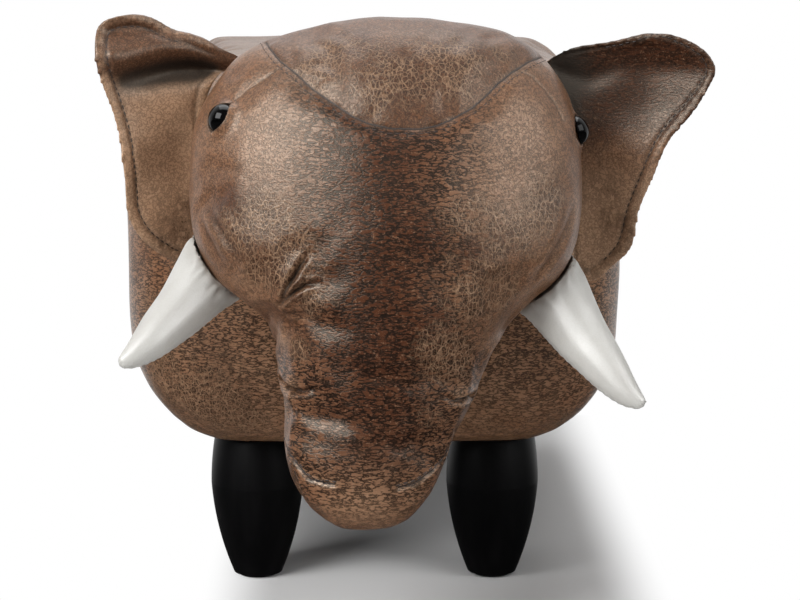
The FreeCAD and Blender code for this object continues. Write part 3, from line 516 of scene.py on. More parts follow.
def grooved(places, path, depth, width, lip):
    # how far a seam or fold pulls the surface in, how dark its groove is painted, partly as painted shade, how far
    # its lips are lightened (rubbed at seams, a painted highlight at folds), and the place along it
    away, along = awayFrom(places, path)
    shift = -depth * bell(away, width) + depth * lip * bell(away - width * 2.6, width * 1.7)
    return shift, bell(away, width * 0.6), bell(away - width * 1.7, width * 0.8), along


# ---- sewing

threadPlan = {"pitch": 0.0042, "length": 0.003, "thick": 0.00042, "seam": 0.00035, "proud": 0.0001}


def sewingTree(name, finish, kind):
    # a run along a curve: single stitches, or one thin closed line
    tree = bpy.data.node_groups.new(name, "GeometryNodeTree")
    tree.is_modifier = True
    labels = {"Geometry": "Geometry", "Pitch": "Float", "Length": "Float", "Thick": "Float"}
    for label, sort in labels.items():
        tree.interface.new_socket(label, in_out="INPUT", socket_type="NodeSocket" + sort)
    tree.interface.new_socket("Geometry", in_out="OUTPUT", socket_type="NodeSocketGeometry")
    g = Graph(tree)
    curve, pitch, length, thick = (g.node("NodeGroupInput", {}, {}, label) for label in labels)
    if kind == "stitches":
        spaced = g.node("GeometryNodeResampleCurve", {"mode": "LENGTH"}, {"Curve": curve, "Length": pitch})
        bead = g.node("GeometryNodeMeshUVSphere", {}, {"Segments": 8, "Rings": 5, "Radius": 1})
        size = g.node("ShaderNodeCombineXYZ", {}, {"X": thick, "Y": thick, "Z": length * 0.5})
        way = g.node("GeometryNodeInputTangent", {}, {})
        turn = g.node("FunctionNodeAlignRotationToVector", {"axis": "Z"}, {"Vector": way})
        sockets = {"Points": spaced, "Instance": bead, "Rotation": turn, "Scale": size}
        run = g.node("GeometryNodeInstanceOnPoints", {}, sockets)
    else:
        ring = g.node("GeometryNodeCurvePrimitiveCircle", {}, {"Resolution": 6, "Radius": thick})
        sockets = {"Curve": curve, "Profile Curve": ring, "Fill Caps": True}
        run = g.node("GeometryNodeCurveToMesh", {}, sockets)
    real = g.node("GeometryNodeRealizeInstances", {}, {0: run})
    g.ended(g.node("GeometryNodeSetMaterial", {}, {"Geometry": real, "Material": finish}), "NodeGroupOutput")
    return tree


stitchTree = sewingTree("stitchRow", finishes["thread"], "stitches")
seamTree = sewingTree("seamLine", finishes["thread"], "line")


def sewn(name, runs, tree, **sizes):
    # stitches or lines along runs of points, with the sizes of threadPlan where none are given
    data = bpy.data.curves.new(name, "CURVE")
    data.dimensions = "3D"
    for run in runs:
        spline = data.splines.new("POLY")
        spline.points.add(len(run) - 1)
        for point, place in zip(spline.points, run):
            point.co = (*place, 1)
    thing = placed(name, data)
    modifier = thing.modifiers.new("sewn", "NODES")
    modifier.node_group = tree
    for item in tree.interface.items_tree:
        if item.in_out == "INPUT" and item.name != "Geometry":
            modifier[item.identifier] = {**threadPlan, **sizes}[item.name.lower()]
    scene = bpy.context.evaluated_depsgraph_get()
    mesh = bpy.data.meshes.new_from_object(thing.evaluated_get(scene))
    bpy.data.objects.remove(thing)
    row = placed(name, mesh)
    row.data.shade_smooth()
    return row


def laid(tree, run, aside, lift):
    # a run of points brought onto a surface, stepped to one side and lifted
    places = []
    for index, place in enumerate(run):
        before, after = run[max(index - 1, 0)], run[min(index + 1, len(run) - 1)]
        way = Vector(after - before).normalized()
        spot, up = tree.find_nearest(Vector(place))[:2]
        spot, up = tree.find_nearest(spot + way.cross(up).normalized() * aside)[:2]
        places.append(spot + up * lift)
    return np.array(places)


def evenRun(run, step):
    # points at even distances along a run
    run = np.array(run)
    along = np.concatenate([[0], np.cumsum(np.linalg.norm(np.diff(run, axis=0), axis=1))])
    count = max(int(along[-1] / step), 2)
    marks = np.linspace(0, along[-1], count + 1)
    return np.stack([np.interp(marks, along, run[:, axis]) for axis in range(3)], axis=1)


# ---- head and trunk

headPlan = {
    "nodes": ["crown_panel", "face_panel", "chin_panel", "trunk_tip_panel", "head_stuffing", "trunk_stuffing"],
    "step": 0.0042, "inset": 0.0012, "swell": {"reach": 0.0024, "pressure": 4.0, "slack": 0.02},
    "heldBehind": -0.168, "hold": 0.004, "fine": 0.0042, "groove": 0.0011, "lip": 0.05, "notch": 0.004,
    # depth, darkness (the seam's line, with painted shade in its groove) and rubbed lips of the crown's seam, of the
    # darts and of the tip's seams
    "seams": [(0.0005, 0.95, 0), (0.0003, 0.35, 0), (0.0013, 0.8, 0.4)],
    "crownAside": 0.0032, "crownThread": 0.0003, "tipAside": 0.002,
    "crownSeam": [
        (266, 42), (269, 47), (280, 61), (299, 76), (310, 87), (325, 98), (340, 108), (353, 117), (368, 123.5),
        (390, 128.4), (420, 128.8), (436, 126), (450, 120.4), (472, 108.5), (487, 95), (498, 83.5), (513, 71.6),
        (530, 60.7), (541, 57), (546, 54),
    ],
    "darts": [
        [(283, 66), (268, 77), (250, 88), (234, 101)],
        [(516, 69), (532, 76), (546, 90), (556, 104), (563, 120)],
    ],
    "tipSeams": [
        [(284.5, 440), (289, 454.7), (297.5, 465.5), (308, 478.6), (322, 483), (334, 485)],
        [(453.6, 439), (445, 458), (435, 470), (414.6, 484), (399.4, 488)],
        [(294, 472), (299.5, 490), (306, 505)], [(438.5, 479.6), (434.5, 492), (424, 503)],
    ],
    # path, depth, width and how far the lips rise; the two deepest are notches that run over the trunk's edge
    "creases": [
        ([(309, 253), (297, 270), (288, 286), (279, 304)], 0.0026, 0.0013, 0.6),
        ([(319, 283), (305, 285), (295, 291), (286, 299), (279, 306)], 0.0026, 0.0012, 0.65),
        ([(281, 380), (286, 387), (292, 391), (299, 392), (312, 390)], 0.0062, 0.0018, 0.2),
        ([(473, 395), (470, 397.5), (463, 400.5), (455, 401), (446, 397)], 0.004, 0.0014, 0.2),
        ([(198, 214), (208, 238), (222, 262)], 0.0009, 0.0024, 0.6),
        ([(206, 206), (222, 234), (240, 258)], 0.0009, 0.0026, 0.6),
        ([(283, 312), (300, 314), (318, 311)], 0.0007, 0.0022, 0.5),
        ([(575, 205), (566, 228), (556, 250)], 0.001, 0.0026, 0.6),
        ([(562, 236), (548, 262), (530, 286)], 0.0008, 0.0026, 0.6),
    ],
    # picture point, radius and strength of each area of crackle, of dark, and of pale leather, partly rubbed and
    # partly painted sheen and reflection on the trunk
    "veinSpots": [
        (285, 262, 0.03, 1), (262, 225, 0.024, 1), (232, 232, 0.018, 0.9), (310, 300, 0.014, 0.9),
        (462, 215, 0.022, 0.8), (485, 290, 0.03, 1), (452, 350, 0.024, 1), (508, 235, 0.026, 0.9),
        (545, 205, 0.022, 1), (330, 62, 0.026, 0.9), (395, 75, 0.032, 0.9), (450, 62, 0.03, 1),
        (500, 55, 0.02, 0.7), (372, 98, 0.02, 0.9), (300, 350, 0.012, 0.8), (436, 410, 0.014, 0.6),
    ],
    "darkSpots": [
        (262, 226, 0.01, 0.9), (285, 262, 0.011, 0.7), (352, 44, 0.012, 0.8), (392, 76, 0.018, 0.8),
        (362, 100, 0.01, 0.7), (455, 48, 0.014, 0.9), (476, 252, 0.012, 0.7), (503, 236, 0.011, 0.7),
        (551, 203, 0.012, 0.9), (432, 238, 0.01, 0.6), (436, 325, 0.01, 0.7), (300, 282, 0.008, 0.7),
        (395, 330, 0.016, 0.4), (232, 216, 0.02, 1.0),
    ],
    "paleSpots": [
        (283, 340, 0.01, 0.5), (286, 405, 0.012, 0.4), (368, 508, 0.032, 0.5), (250, 290, 0.016, 0.4),
        (292, 384, 0.006, 0.5), (462, 392, 0.008, 0.5), (490, 345, 0.012, 0.35),
    ],
}
# the long way of each opening, the side of the face, and where the leather starts on its two sides
eyePlan = {
    "tilts": {"eye_left": ((0.41, 0, -0.91), -1, 0.0092, 0.008), "eye_right": ((0.53, 0, 0.85), 1, 0.0061, 0.0078)},
    "radius": 0.0085, "dome": 0.0062, "ball": 0.00893, "long": 0.0098, "above": 0.0006, "fine": 0.012,
    # the leather rises to the eye like a tent
    "tent": 0.005, "tentAt": 0.0045, "tentWidth": 0.005,
}


def middleOf(name):
    return np.array(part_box(name)).mean(0)


def eyeLids(places, name):
    # the leather laps over the long sides of the eye, most on the side of the face, with painted shade along the
    # lap's edge
    plan = eyePlan
    tilt, inner, faceWidth, farWidth = plan["tilts"][name]
    thing = nodes[name]
    spots = np.array([thing.matrix_world @ vertex.co for vertex in thing.data.vertices])
    washer = middleOf(name.replace("eye", "eye_washer"))
    apex = spots[np.linalg.norm(spots - washer, axis=1).argmax()]
    axis = (apex - washer) / np.linalg.norm(apex - washer)
    base = apex - axis * plan["dome"]
    long = np.array(tilt) - axis * np.dot(tilt, axis)
    long /= np.linalg.norm(long)
    across = np.cross(axis, long)
    across *= np.sign(across[0]) * inner
    away = places - base
    height = away @ axis
    away -= np.outer(height, axis)
    reach = np.linalg.norm(away, axis=1)
    aside, ahead = away @ across, away @ long
    width = np.where(aside > 0, faceWidth, farWidth) * np.clip(1 - (ahead / plan["long"]) ** 2, 0, 1)
    lapped = ease(np.abs(aside) - width, -0.0003, 0.0006)
    dome = np.sqrt(np.maximum(plan["ball"] ** 2 - reach ** 2, 0)) - (plan["ball"] - plan["dome"]) + plan["above"]
    share = 1 if faceWidth < plan["radius"] else np.where(aside > 0, 0.2, 0.8)
    tent = plan["tent"] * bell(reach - plan["tentAt"], plan["tentWidth"]) * share
    near = (np.abs(height) < 0.012) & (reach < 0.02)
    lift = np.where(reach < plan["radius"] - 0.0002, np.maximum(dome, tent), tent)
    pull = np.where(near, lapped * np.maximum(lift - np.maximum(height, 0) * (reach < 0.009), 0), 0)
    # painted shade along the edge where the leather laps over the eye
    shadeAndInkStrength = 0.75 * bell(np.abs(aside) - width, 0.0009) * (reach < plan["radius"] + 0.001)
    return np.outer(pull, axis), near * shadeAndInkStrength


def headLines(tree):
    # the seams and the creases, brought from the picture onto the surface
    pictures = [headPlan["crownSeam"]] + headPlan["darts"] + headPlan["tipSeams"]
    folds = [(lineOn(tree, picture), *rest) for picture, *rest in headPlan["creases"]]
    return [lineOn(tree, picture) for picture in pictures], folds


def headPiece():
    plan = headPlan
    head = remeshed("headCover", plan["nodes"], plan["step"])
    tree = treeOf(head)
    seams, folds = headLines(tree)
    lines = [fold[0] for fold in folds[:4]]
    places, outward = coords(head.data), normals(head.data)
    moved(head.data, places - outward * plan["inset"])
    hold = np.where(places[:, 1] > plan["heldBehind"], 1.0, 0.0)
    # held least at the crown's seam and the darts, fully at the tip's seams
    for path, strength in zip(seams + lines, [0.4] * 3 + [1] * 4 + [0.8] * 4):
        hold = np.maximum(hold, bell(awayFrom(places, path)[0], plan["hold"]) * strength)
    swelled(head, hold, **plan["swell"])
    divided(head)
    mesh = head.data
    relaxed(mesh, 2)
    refined(mesh, seams + lines[:2], plan["fine"], 2)
    refined(mesh, lines[2:], plan["fine"], 3)
    for name in eyePlan["tilts"]:
        refined(mesh, [middleOf(name) + np.array([[0], [0.0001]])], eyePlan["fine"], 3)
    tree = treeOf(head)
    seams, folds = headLines(tree)
    places, outward = coords(mesh), normals(mesh)
    shift, crease, wear = (np.zeros(len(places)) for part in range(3))
    for number, path in enumerate(seams):
        depth, shadeAndInkStrength, rub = plan["seams"][min((number + 1) // 2, 2)]
        pull, dark, lip, along = grooved(places, path, depth, plan["groove"], plan["lip"])
        shift += pull
        # the seam's dark line, with painted shade in its groove
        crease += dark * shadeAndInkStrength
        wear += lip * rub
    for path, depth, width, lip in folds:
        pull, dark, edge, along = grooved(places, path, depth, width, lip)
        # a fold is painted dark in its groove as shade and gets a painted highlight on its lips; it fades at both
        # ends, a notch only at its inner one
        part = along if depth < plan["notch"] else 0.5 + along / 2
        fade = np.sin(np.pi * np.clip(part, 0.03, 0.97)) ** 0.7
        shift += pull * fade
        crease += dark * fade * min(1.1, depth * 420)
        # painted highlight on the fold's lips
        wear += edge * fade * 0.35
    shift += wander(places, 26) * 0.0012 + wander(places, 70, 3) * 0.0002
    lap = np.zeros_like(places)
    for name in eyePlan["tilts"]:
        pull, dark = eyeLids(places, name)
        lap += pull
        crease += dark
    moved(mesh, places + outward * shift[:, None] + lap)
    height, side = places[:, 2], places[:, 0] + 0.012
    front = ease(-outward[:, 1], 0.0, 0.45)
    middle = np.maximum(bell(side, 0.056), 1 - ease(height, 0.17, 0.2))
    order = np.argsort(seams[0][:, 0])
    under = ease(np.interp(places[:, 0], seams[0][order, 0], seams[0][order, 2]) - height, -0.002, 0.004)
    # darker down the front of the face and trunk: darker dye, and partly painted shade where the front faces away
    # from the side lamps
    centre = bell(side + 0.006, 0.046) * ease(height, 0.1, 0.135) * under * front
    dark = spotsOn(tree, places, plan["darkSpots"]) * 0.8 + centre * 0.74 + (1 - under) * 0.45 + 0.16
    marked(
        mesh, crease=crease, wear=wear + spotsOn(tree, places, plan["paleSpots"]),
        wrinkle=front * middle * under * (0.35 + 0.65 * ease(height, 0.085, 0.125)) + 0.15,
        vein=np.maximum(spotsOn(tree, places, plan["veinSpots"]), ease(places[:, 1], -0.26, -0.2) * 0.6),
        dark=dark + 0.14 * bell(height - 0.24, 0.05) * (side < 0),
    )
    head.data.shade_smooth()
    return head, [evenRun(path, 0.002) for path in seams]


head, headSeams = headPiece()
headTree = treeOf(head)
sunk = [laid(headTree, run, 0, -threadPlan["proud"]) for run in headSeams[:1] + headSeams[3:]]
crown = laid(headTree, headSeams[0], headPlan["crownAside"], 0)
asides = (-headPlan["tipAside"], headPlan["tipAside"])
tips = [laid(headTree, run, aside, threadPlan["proud"]) for run, aside in zip(headSeams[3:5], asides)]
headSewing = [
    sewn("headSeams", sunk, seamTree, thick=threadPlan["seam"]),
    sewn("crownStitches", [crown], stitchTree, thick=headPlan["crownThread"]),
    sewn("tipStitches", tips, stitchTree),
]
print("head made,", len(head.data.vertices), "points")

# ---- body cover

bodyPlan = {
    "nodes": ["seat_panel", "flank_panel_left", "flank_panel_right", "seat_foam", "wrap_foam"],
    "within": ["base_board", "seat_board"],
    "step": 0.006, "inset": 0.0015, "swell": {"reach": 0.0035, "pressure": 5.0, "slack": 0.015},
    "seamHeight": 0.307, "rear": (0.305, 0.1, 40), "hold": 0.006, "fine": 0.006, "depth": 0.0016, "groove": 0.003,
    "thread": 0.0005, "aside": 0.005, "stitch": {"pitch": 0.0052, "length": 0.0038},
    "darkSpots": [(150, 330, 0.02, 0.5), (215, 350, 0.02, 0.5), (560, 340, 0.03, 0.4), (240, 400, 0.02, 0.5)],
    "veinSpots": [
        (165, 380, 0.03, 1), (205, 400, 0.035, 1), (160, 300, 0.02, 0.6), (240, 420, 0.02, 0.9),
        (590, 400, 0.02, 0.7), (560, 420, 0.02, 0.7), (600, 340, 0.02, 0.6),
    ],
}


def ringAt(tree, middle, height, count=180):
    # the outline of a surface at one height, seen from its middle
    turns = [2 * math.pi * index / count for index in range(count + 1)]
    ways = [Vector((math.cos(turn), math.sin(turn), 0)) for turn in turns]
    return hitsOf(tree, [(Vector((middle[0], middle[1], height)) + way, -way) for way in ways])


def downRear(tree, across, start, heights):
    # a line down the rear of a surface
    return hitsOf(tree, [((across, start, height), (0, -1, 0)) for height in heights])


def bodyLines(tree, middle):
    # the seam round the seat and the one down the rear
    return ringAt(tree, middle, bodyPlan["seamHeight"]), downRear(tree, middle[0], 1, np.linspace(*bodyPlan["rear"]))


def bodyPiece():
    plan = bodyPlan
    body = remeshed("bodyCover", plan["nodes"] + plan["within"], plan["step"])
    tree = treeOf(body)
    places, outward = coords(body.data), normals(body.data)
    low, high = places.min(0), places.max(0)
    middle = (low + high) / 2
    seam, rear = bodyLines(tree, middle)
    moved(body.data, places - outward * plan["inset"] * ease(places[:, 2], low[2] + 0.004, low[2] + 0.02)[:, None])
    hold = 1 - ease(places[:, 2], low[2] + 0.006, low[2] + 0.016)
    for path in (seam, rear):
        hold = np.maximum(hold, bell(awayFrom(places, path)[0], plan["hold"]))
    swelled(body, hold, **plan["swell"])
    divided(body)
    mesh = body.data
    relaxed(mesh, 2)
    refined(mesh, [seam, rear], plan["fine"], 1)
    tree = treeOf(body)
    seam, rear = bodyLines(tree, middle)
    places, outward = coords(mesh), normals(mesh)
    shift, crease, wear = (np.zeros(len(places)) for part in range(3))
    for path in (seam, rear):
        pull, dark, lip, along = grooved(places, path, plan["depth"], plan["groove"], 0.35)
        shift += pull
        # the seam's dark line, with painted shade in its groove
        crease += dark * 0.5
        wear += lip * 0.25
    shift += wander(places, 20, 1) * 0.0014 * ease(places[:, 2], low[2] + 0.004, low[2] + 0.02)
    moved(mesh, places + outward * shift[:, None])
    lower = 1 - ease(places[:, 2], 0.16, 0.24)
    behind = ease(places[:, 1], -0.1, 0) * (0.45 + wander(places, 9, 5))
    marked(
        mesh, crease=crease, wear=wear + lower * 0.3, wrinkle=0.45 + 0.4 * bell(places[:, 2] - 0.17, 0.06),
        vein=np.maximum(spotsOn(tree, places, plan["veinSpots"]), behind),
        dark=spotsOn(tree, places, plan["darkSpots"]) + 0.05,
    )
    body.data.shade_smooth()
    return body, [evenRun(seam, 0.003), evenRun(rear, 0.003)]


body, bodySeams = bodyPiece()
bodyTree = treeOf(body)
sunk = [laid(bodyTree, run, 0, -threadPlan["proud"]) for run in bodySeams]
rows = [laid(bodyTree, run, way * bodyPlan["aside"], threadPlan["proud"]) for run in bodySeams for way in (-1, 1)]
bodySewing = [
    sewn("bodySeams", sunk, seamTree, thick=bodyPlan["thread"]),
    sewn("bodyStitches", rows, stitchTree, **bodyPlan["stitch"]),
]
print("body made,", len(body.data.vertices), "points")

# ---- ears

earPlan = {
    "nodes": ["ear_front_cover", "ear_back_cover", "ear_padding"],
    "left": {
        "fold": [(560, 76), (590, 82), (616, 72)], "shadeAndInkStrength": 0.4, "rise": 0.0015, "sink": 0.0035, "close": 0.0038,
        "drop": [(560, 0), (700, 0)],
    },
    "right": {
        "fold": [(240, 70), (205, 71), (170, 73), (142, 78), (127, 81)],
        "shadeAndInkStrength": 1.9, "rise": 0.0085, "sink": 0.012, "close": 0,
        "drop": [(188, 0), (200, 0.002), (218, 0.0068), (235, 0.0098), (245, 0.01)],
    },
    "plane": -0.2, "rounds": 10, "line": 0.0068, "step": 0.0014, "pucker": 0.005,
    "stitch": {"pitch": 0.004, "length": 0.0028, "thick": 0.00036},
}


def ofSide(plan, side):
    return [f"{name}_{side}" for name in plan["nodes"]]


def onPlane(across, down, depth):
    start, way = sight(across, down)
    return np.array(start + way * ((depth - start.y) / way.y))


def rimOf(places):
    # the ear's edge as an ordered run of points
    middle = places.mean(0)
    turns = np.arctan2(places[:, 2] - middle[2], places[:, 0] - middle[0])
    away = np.hypot(places[:, 0] - middle[0], places[:, 2] - middle[2])
    run = []
    for index in range(240):
        turn = -math.pi + 2 * math.pi * (index + 0.5) / 240
        near = np.abs(np.angle(np.exp(1j * (turns - turn)))) < 0.03
        if near.any():
            run.append(places[near][away[near].argmax()])
    run = np.array(run)
    for turn in range(3):
        run = (np.roll(run, 1, axis=0) + 2 * run + np.roll(run, -1, axis=0)) / 4
    return np.concatenate([run, run[:1]])


def earPiece(side):
    plan, own = earPlan, earPlan[side]
    ear = remeshed("ear" + side.capitalize(), ofSide(plan, side), plan["step"])
    mesh = ear.data
    relaxed(mesh, plan["rounds"])
    places, outward = coords(mesh), normals(mesh)
    sign = 1 if side == "left" else -1
    rim = rimOf(places)
    inner = sign * (places[:, 0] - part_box(f"ear_padding_{side}")[0 if sign > 0 else 1][0])
    away, along = awayFrom(places, rim)
    # the fold is drawn in the plane of the ear
    fold = np.array([onPlane(px, py, plan["plane"]) for px, py in own["fold"]])
    flat = places * np.array([1, 0, 1])
    toFold, alongFold = awayFrom(flat, fold * np.array([1, 0, 1]))
    order = np.argsort(fold[:, 0])
    above = places[:, 2] - np.interp(places[:, 0], fold[order, 0], fold[order, 2])
    rimHold = ease(away, 0.0, 0.012)
    bend = own["sink"] * (bell(toFold, 0.006) * (1 - 0.75 * alongFold) + 0.5 * wander(flat, 30, 7))
    bend -= own["rise"] * bell(above - 0.015, 0.01) * (1 - ease(toFold, 0.03, 0.05)) * ease(inner, 0.004, 0.04)
    # the top edge falls towards the head
    marks = [(onPlane(px, 60, plan["plane"])[0], fall) for px, fall in own["drop"]]
    fall = np.interp(places[:, 0], *zip(*marks)) * ease(above, -0.008, 0.013)
    places = places + np.stack([0 * bend, bend * (0.35 + 0.65 * rimHold), -fall], axis=1)
    length = np.linalg.norm(np.diff(rim, axis=0), axis=1).sum()
    pucker = np.sin(along * length / plan["pucker"] * 2 * math.pi + 2.2 * np.sin(along * 31))
    open_ = ease(inner, 0.004, 0.016)  # the root has no rolled edge
    upward = (places[:, 2] - rim[:, 2].mean()) / np.maximum(np.linalg.norm(places - rim.mean(0), axis=1), 1e-6)
    lineAt = plan["line"] - own["close"] * ease(upward, 0.3, 0.85)
    line = bell(away - lineAt, 0.0011) * open_
    ahead = ease(-outward[:, 1], 0.2, 0.7)
    shift = -0.0008 * line + 0.0005 * bell(away - 0.0034, 0.0022) * open_
    shift += 0.0002 * pucker * bell(away - 0.0052, 0.002) * open_ * ahead * ease(away, 0.001, 0.003)
    shift += wander(places, 45, 4 * sign) * 0.0006 - 0.0016 * (1 - ease(inner, 0, 0.014))
    moved(mesh, places + outward * shift[:, None])
    height = places[:, 2]
    # the rim's groove painted dark on the front, as shade
    crease = line * (0.38 + 0.12 * pucker) * ahead
    # painted shadow in the fold, under the overhanging upper rim
    crease += bell(toFold, 0.0085 - 0.002 * alongFold) * own["shadeAndInkStrength"] * (1 - alongFold * 0.35) * rimHold
    wear = bell(away - 0.0025, 0.002) * open_ * (0.3 + 0.1 * pucker)
    if side == "left":
        # painted shade and deeper grain above, where the ear turns from the light, most near the head; lighter below
        top = ease(height, 0.28, 0.31)
        crease += 0.9 * bell(inner - 0.006, 0.014) * ease(height, 0.27, 0.31) + 0.15 * ease(height, 0.29, 0.32)
        wear += 0.95 * (1 - ease(height, 0.25, 0.3))
        wrinkle, shade = 0.2 + 0.4 * top, top
    else:
        # dark over the fold; lighter under it and most at the root, partly the leather's tone and partly painted
        # light from the left
        over = ease(above, -0.002, 0.006)
        wear += 0.85 - 0.65 * over + 1.44 * bell(inner - 0.008, 0.014) * (1 - ease(above, -0.012, -0.004))
        wrinkle, shade = 0.2, 0.8 * over
    marked(
        mesh, crease=crease, wear=wear, wrinkle=wrinkle,
        vein=0.15 + 0.5 * wander(places, 20, 9) + 0.35 * (1 - ease(height, 0.24, 0.3)),
        dark=0.3 * ease(wander(places, 26, 11 * sign), 0.1, 0.5) + shade,
    )
    ear.data.shade_smooth()
    # the sewn line: the middle of the groove on the front, away from the root
    sewnHere = (np.abs(away - lineAt) < 0.0007) & (outward[:, 1] < -0.3) & (inner > 0.03)
    order = np.argsort(along[sewnHere])
    run, marks = places[sewnHere][order], along[sewnHere][order]
    gap = int(np.argmax(np.diff(np.append(marks, marks[0] + 1)))) + 1
    run = np.roll(run, -gap, axis=0)
    steps = np.array_split(run, 110)
    return ear, evenRun(np.array([step.mean(0) for step in steps]), 0.002)


def earStitches(side, run):
    # the run, brought onto the front of the ear
    ahead = hitsOf(treeOf(ears[side]), [((spot[0], -0.4, spot[2]), (0, 1, 0)) for spot in run])
    row = ahead - np.array([0, threadPlan["proud"], 0])
    return sewn("earStitches" + side.capitalize(), [row], stitchTree, **earPlan["stitch"])


ears, earSewing = {}, {}
for side in ("left", "right"):
    ears[side], run = earPiece(side)
    earSewing[side] = earStitches(side, run)
print("ears made")

# ---- tusks

tuskPlan = {"nodes": ["tusk_cover", "tusk_stuffing"], "step": 0.0015, "gather": 0.0042, "deep": 0.00055}


def tuskPiece(side):
    plan = tuskPlan
    tusk = remeshed("tusk" + side.capitalize(), ofSide(plan, side), plan["step"], "white_leather")
    mesh = tusk.data
    places, outward = coords(mesh), normals(mesh)
    toHead = np.array([headTree.find_nearest(Vector(spot))[3] for spot in places])
    sign = 1 if side == "left" else -1
    lower = ease(-outward[:, 2], 0.2, 0.75)
    slant = (places[:, 0] * sign * 0.8 - places[:, 2] * 0.6) / plan["gather"]
    wave = np.sin(slant * 2 * math.pi + 4 * wander(places, 40, sign))
    around = np.sin(np.arctan2(outward[:, 2], outward[:, 0]) * 11 + 5 * wander(places, 60, 2))
    shift = plan["deep"] * (around * bell(toHead - 0.003, 0.006) * 0.9 + wave * bell(lower - 1, 0.35) * 0.3)
    shift += wander(places, 50, 6) * 0.0006 - 0.0014 * bell(toHead, 0.003)
    moved(mesh, places + outward * shift[:, None])
    # painted shade where the tusk meets the head and in its gathers
    marked(mesh, crease=bell(toHead, 0.002) * 0.8 + np.clip(-around, 0, 1) * bell(toHead - 0.003, 0.005) * 0.25)
    tusk.data.shade_smooth()
    return tusk


tusks = {side: tuskPiece(side) for side in ("left", "right")}
print("tusks made")

# ---- tail

tailPlan = {
    "step": 0.0011, "edge": 0.0028, "stitch": {"pitch": 0.0036, "length": 0.0025, "thick": 0.00034},
    "tasselStep": 0.0015, "strands": 56, "thick": 0.0011,
}
staplePlan = {
    "inset": 0.008, "corner": 0.16, "below": 0.0002,
    "size": {"pitch": 0.028, "length": 0.0095, "thick": 0.0005},
}


def tailPiece():
    tail = remeshed("tailStrap", ["tail_strap"], tailPlan["step"])
    mesh = tail.data
    places, outward = coords(mesh), normals(mesh)
    low, high = places.min(0), places.max(0)
    edge = np.minimum(places[:, 0] - low[0], high[0] - places[:, 0])
    away = edge - tailPlan["edge"]
    shift = -0.0006 * bell(away, 0.0009) + 0.0004 * wander(places, 90)
    moved(mesh, places + outward * shift[:, None])
    marked(mesh, crease=bell(away, 0.0008) * 0.7, wear=bell(edge, 0.0015) * 0.6, wrinkle=0.7, vein=0.3)
    tail.data.shade_smooth()
    return tail


def tailStitches(tail):
    # a row beside each edge of the strap, on its rear
    low, high = np.array(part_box("tail_strap"))
    tree = treeOf(tail)
    heights = np.linspace(high[2] - 0.004, low[2] + 0.012, 60)
    edges = (low[0] + tailPlan["edge"], high[0] - tailPlan["edge"])
    proud = np.array([0, threadPlan["proud"], 0])
    rows = [downRear(tree, across, high[1] + 0.1, heights) + proud for across in edges]
    return sewn("tailStitches", rows, stitchTree, **tailPlan["stitch"])


def tasselPiece():
    # a knot with leather strands hanging from it
    tassel = remeshed("tailTassel", ["tail_tassel"], tailPlan["tasselStep"])
    places, outward = coords(tassel.data), normals(tassel.data)
    low, high = places.min(0), places.max(0)
    fall = (high[2] - places[:, 2]) / (high[2] - low[2])
    moved(tassel.data, places - outward * (0.0012 * ease(fall, 0.2, 0.35))[:, None])
    tassel.data.shade_smooth()
    core = treeOf(tassel)
    middle = (low + high) / 2
    runs = []
    for index in range(tailPlan["strands"]):
        turn = index / tailPlan["strands"] * 2 * math.pi
        run = []
        for step in range(9):
            share = 0.22 + 0.78 * step / 8
            sway = 0.1 * share * math.sin(index * 2.4)
            way = Vector((math.cos(turn + sway), math.sin(turn + sway), 0))
            height = high[2] - share * (high[2] - low[2]) + 0.0012 * share * math.sin(index * 4.1) + 0.0005
            hit = core.ray_cast(Vector((middle[0], middle[1], height)) + way * 0.1, -way)[0]
            if hit is not None:
                run.append(np.array(hit) + np.array(way) * 0.0004)
        if len(run) > 2:
            runs.append(run)
    return tassel, sewn("tasselStrands", runs, strandTree, thick=tailPlan["thick"])


def stapleRow():
    # the staples of the base cloth, along a rectangle whose corners are rounded by a small power
    plan = staplePlan
    low, high = np.array(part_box("base_cloth"))
    middle, half = (low + high) / 2, (high - low) / 2 - plan["inset"]
    run = []
    for index in range(121):
        turn = 2 * math.pi * index / 120
        part = [math.copysign(abs(value) ** plan["corner"], value) for value in (math.cos(turn), math.sin(turn))]
        run.append([middle[0] + part[0] * half[0], middle[1] + part[1] * half[1], low[2] - plan["below"]])
    return sewn("baseStaples", [evenRun(run, 0.004)], stapleTree, **plan["size"])


strandTree = sewingTree("strandLine", finishes["brown_leather"], "line")
stapleTree = sewingTree("stapleRow", finishes["zinc_steel"], "stitches")
tail = tailPiece()
tailSewing = tailStitches(tail)
tassel, strands = tasselPiece()
staples = stapleRow()
print("tail made")

# ---- bodies and slots

pieces = [
    (head, "stool", headPlan["nodes"], 0.85, "brown_leather"),
    (body, "stool", bodyPlan["nodes"], 0.9, "brown_leather"),
    (tail, "tail", ["tail_strap"], 0.6, "brown_leather"),
    (tassel, "tail", ["tail_tassel"], 0.6, "brown_leather"),
]
sewing = [(thing, "stool", "brown_leather") for thing in headSewing + bodySewing]
sewing += [(thing, "tail", "brown_leather") for thing in (tailSewing, strands)]
sewing.append((staples, "stool", "zinc_steel"))
for side in ("left", "right"):
    pieces.append((ears[side], "ear_" + side, ofSide(earPlan, side), 0.5, "brown_leather"))
    pieces.append((tusks[side], "stool", ofSide(tuskPlan, side), 0.9, "white_leather"))
    sewing.append((earSewing[side], "ear_" + side, "brown_leather"))
for thing, carrier, replaced, fill, slot in pieces:
    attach(thing, carrier)
    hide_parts(*replaced)
for thing, carrier, slot in sewing:
    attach(thing, carrier)

# ---- floor, backdrop and light


def ray(f, kind):
    return f.node("ShaderNodeLightPath", {}, {}, f"Is {kind} Ray")


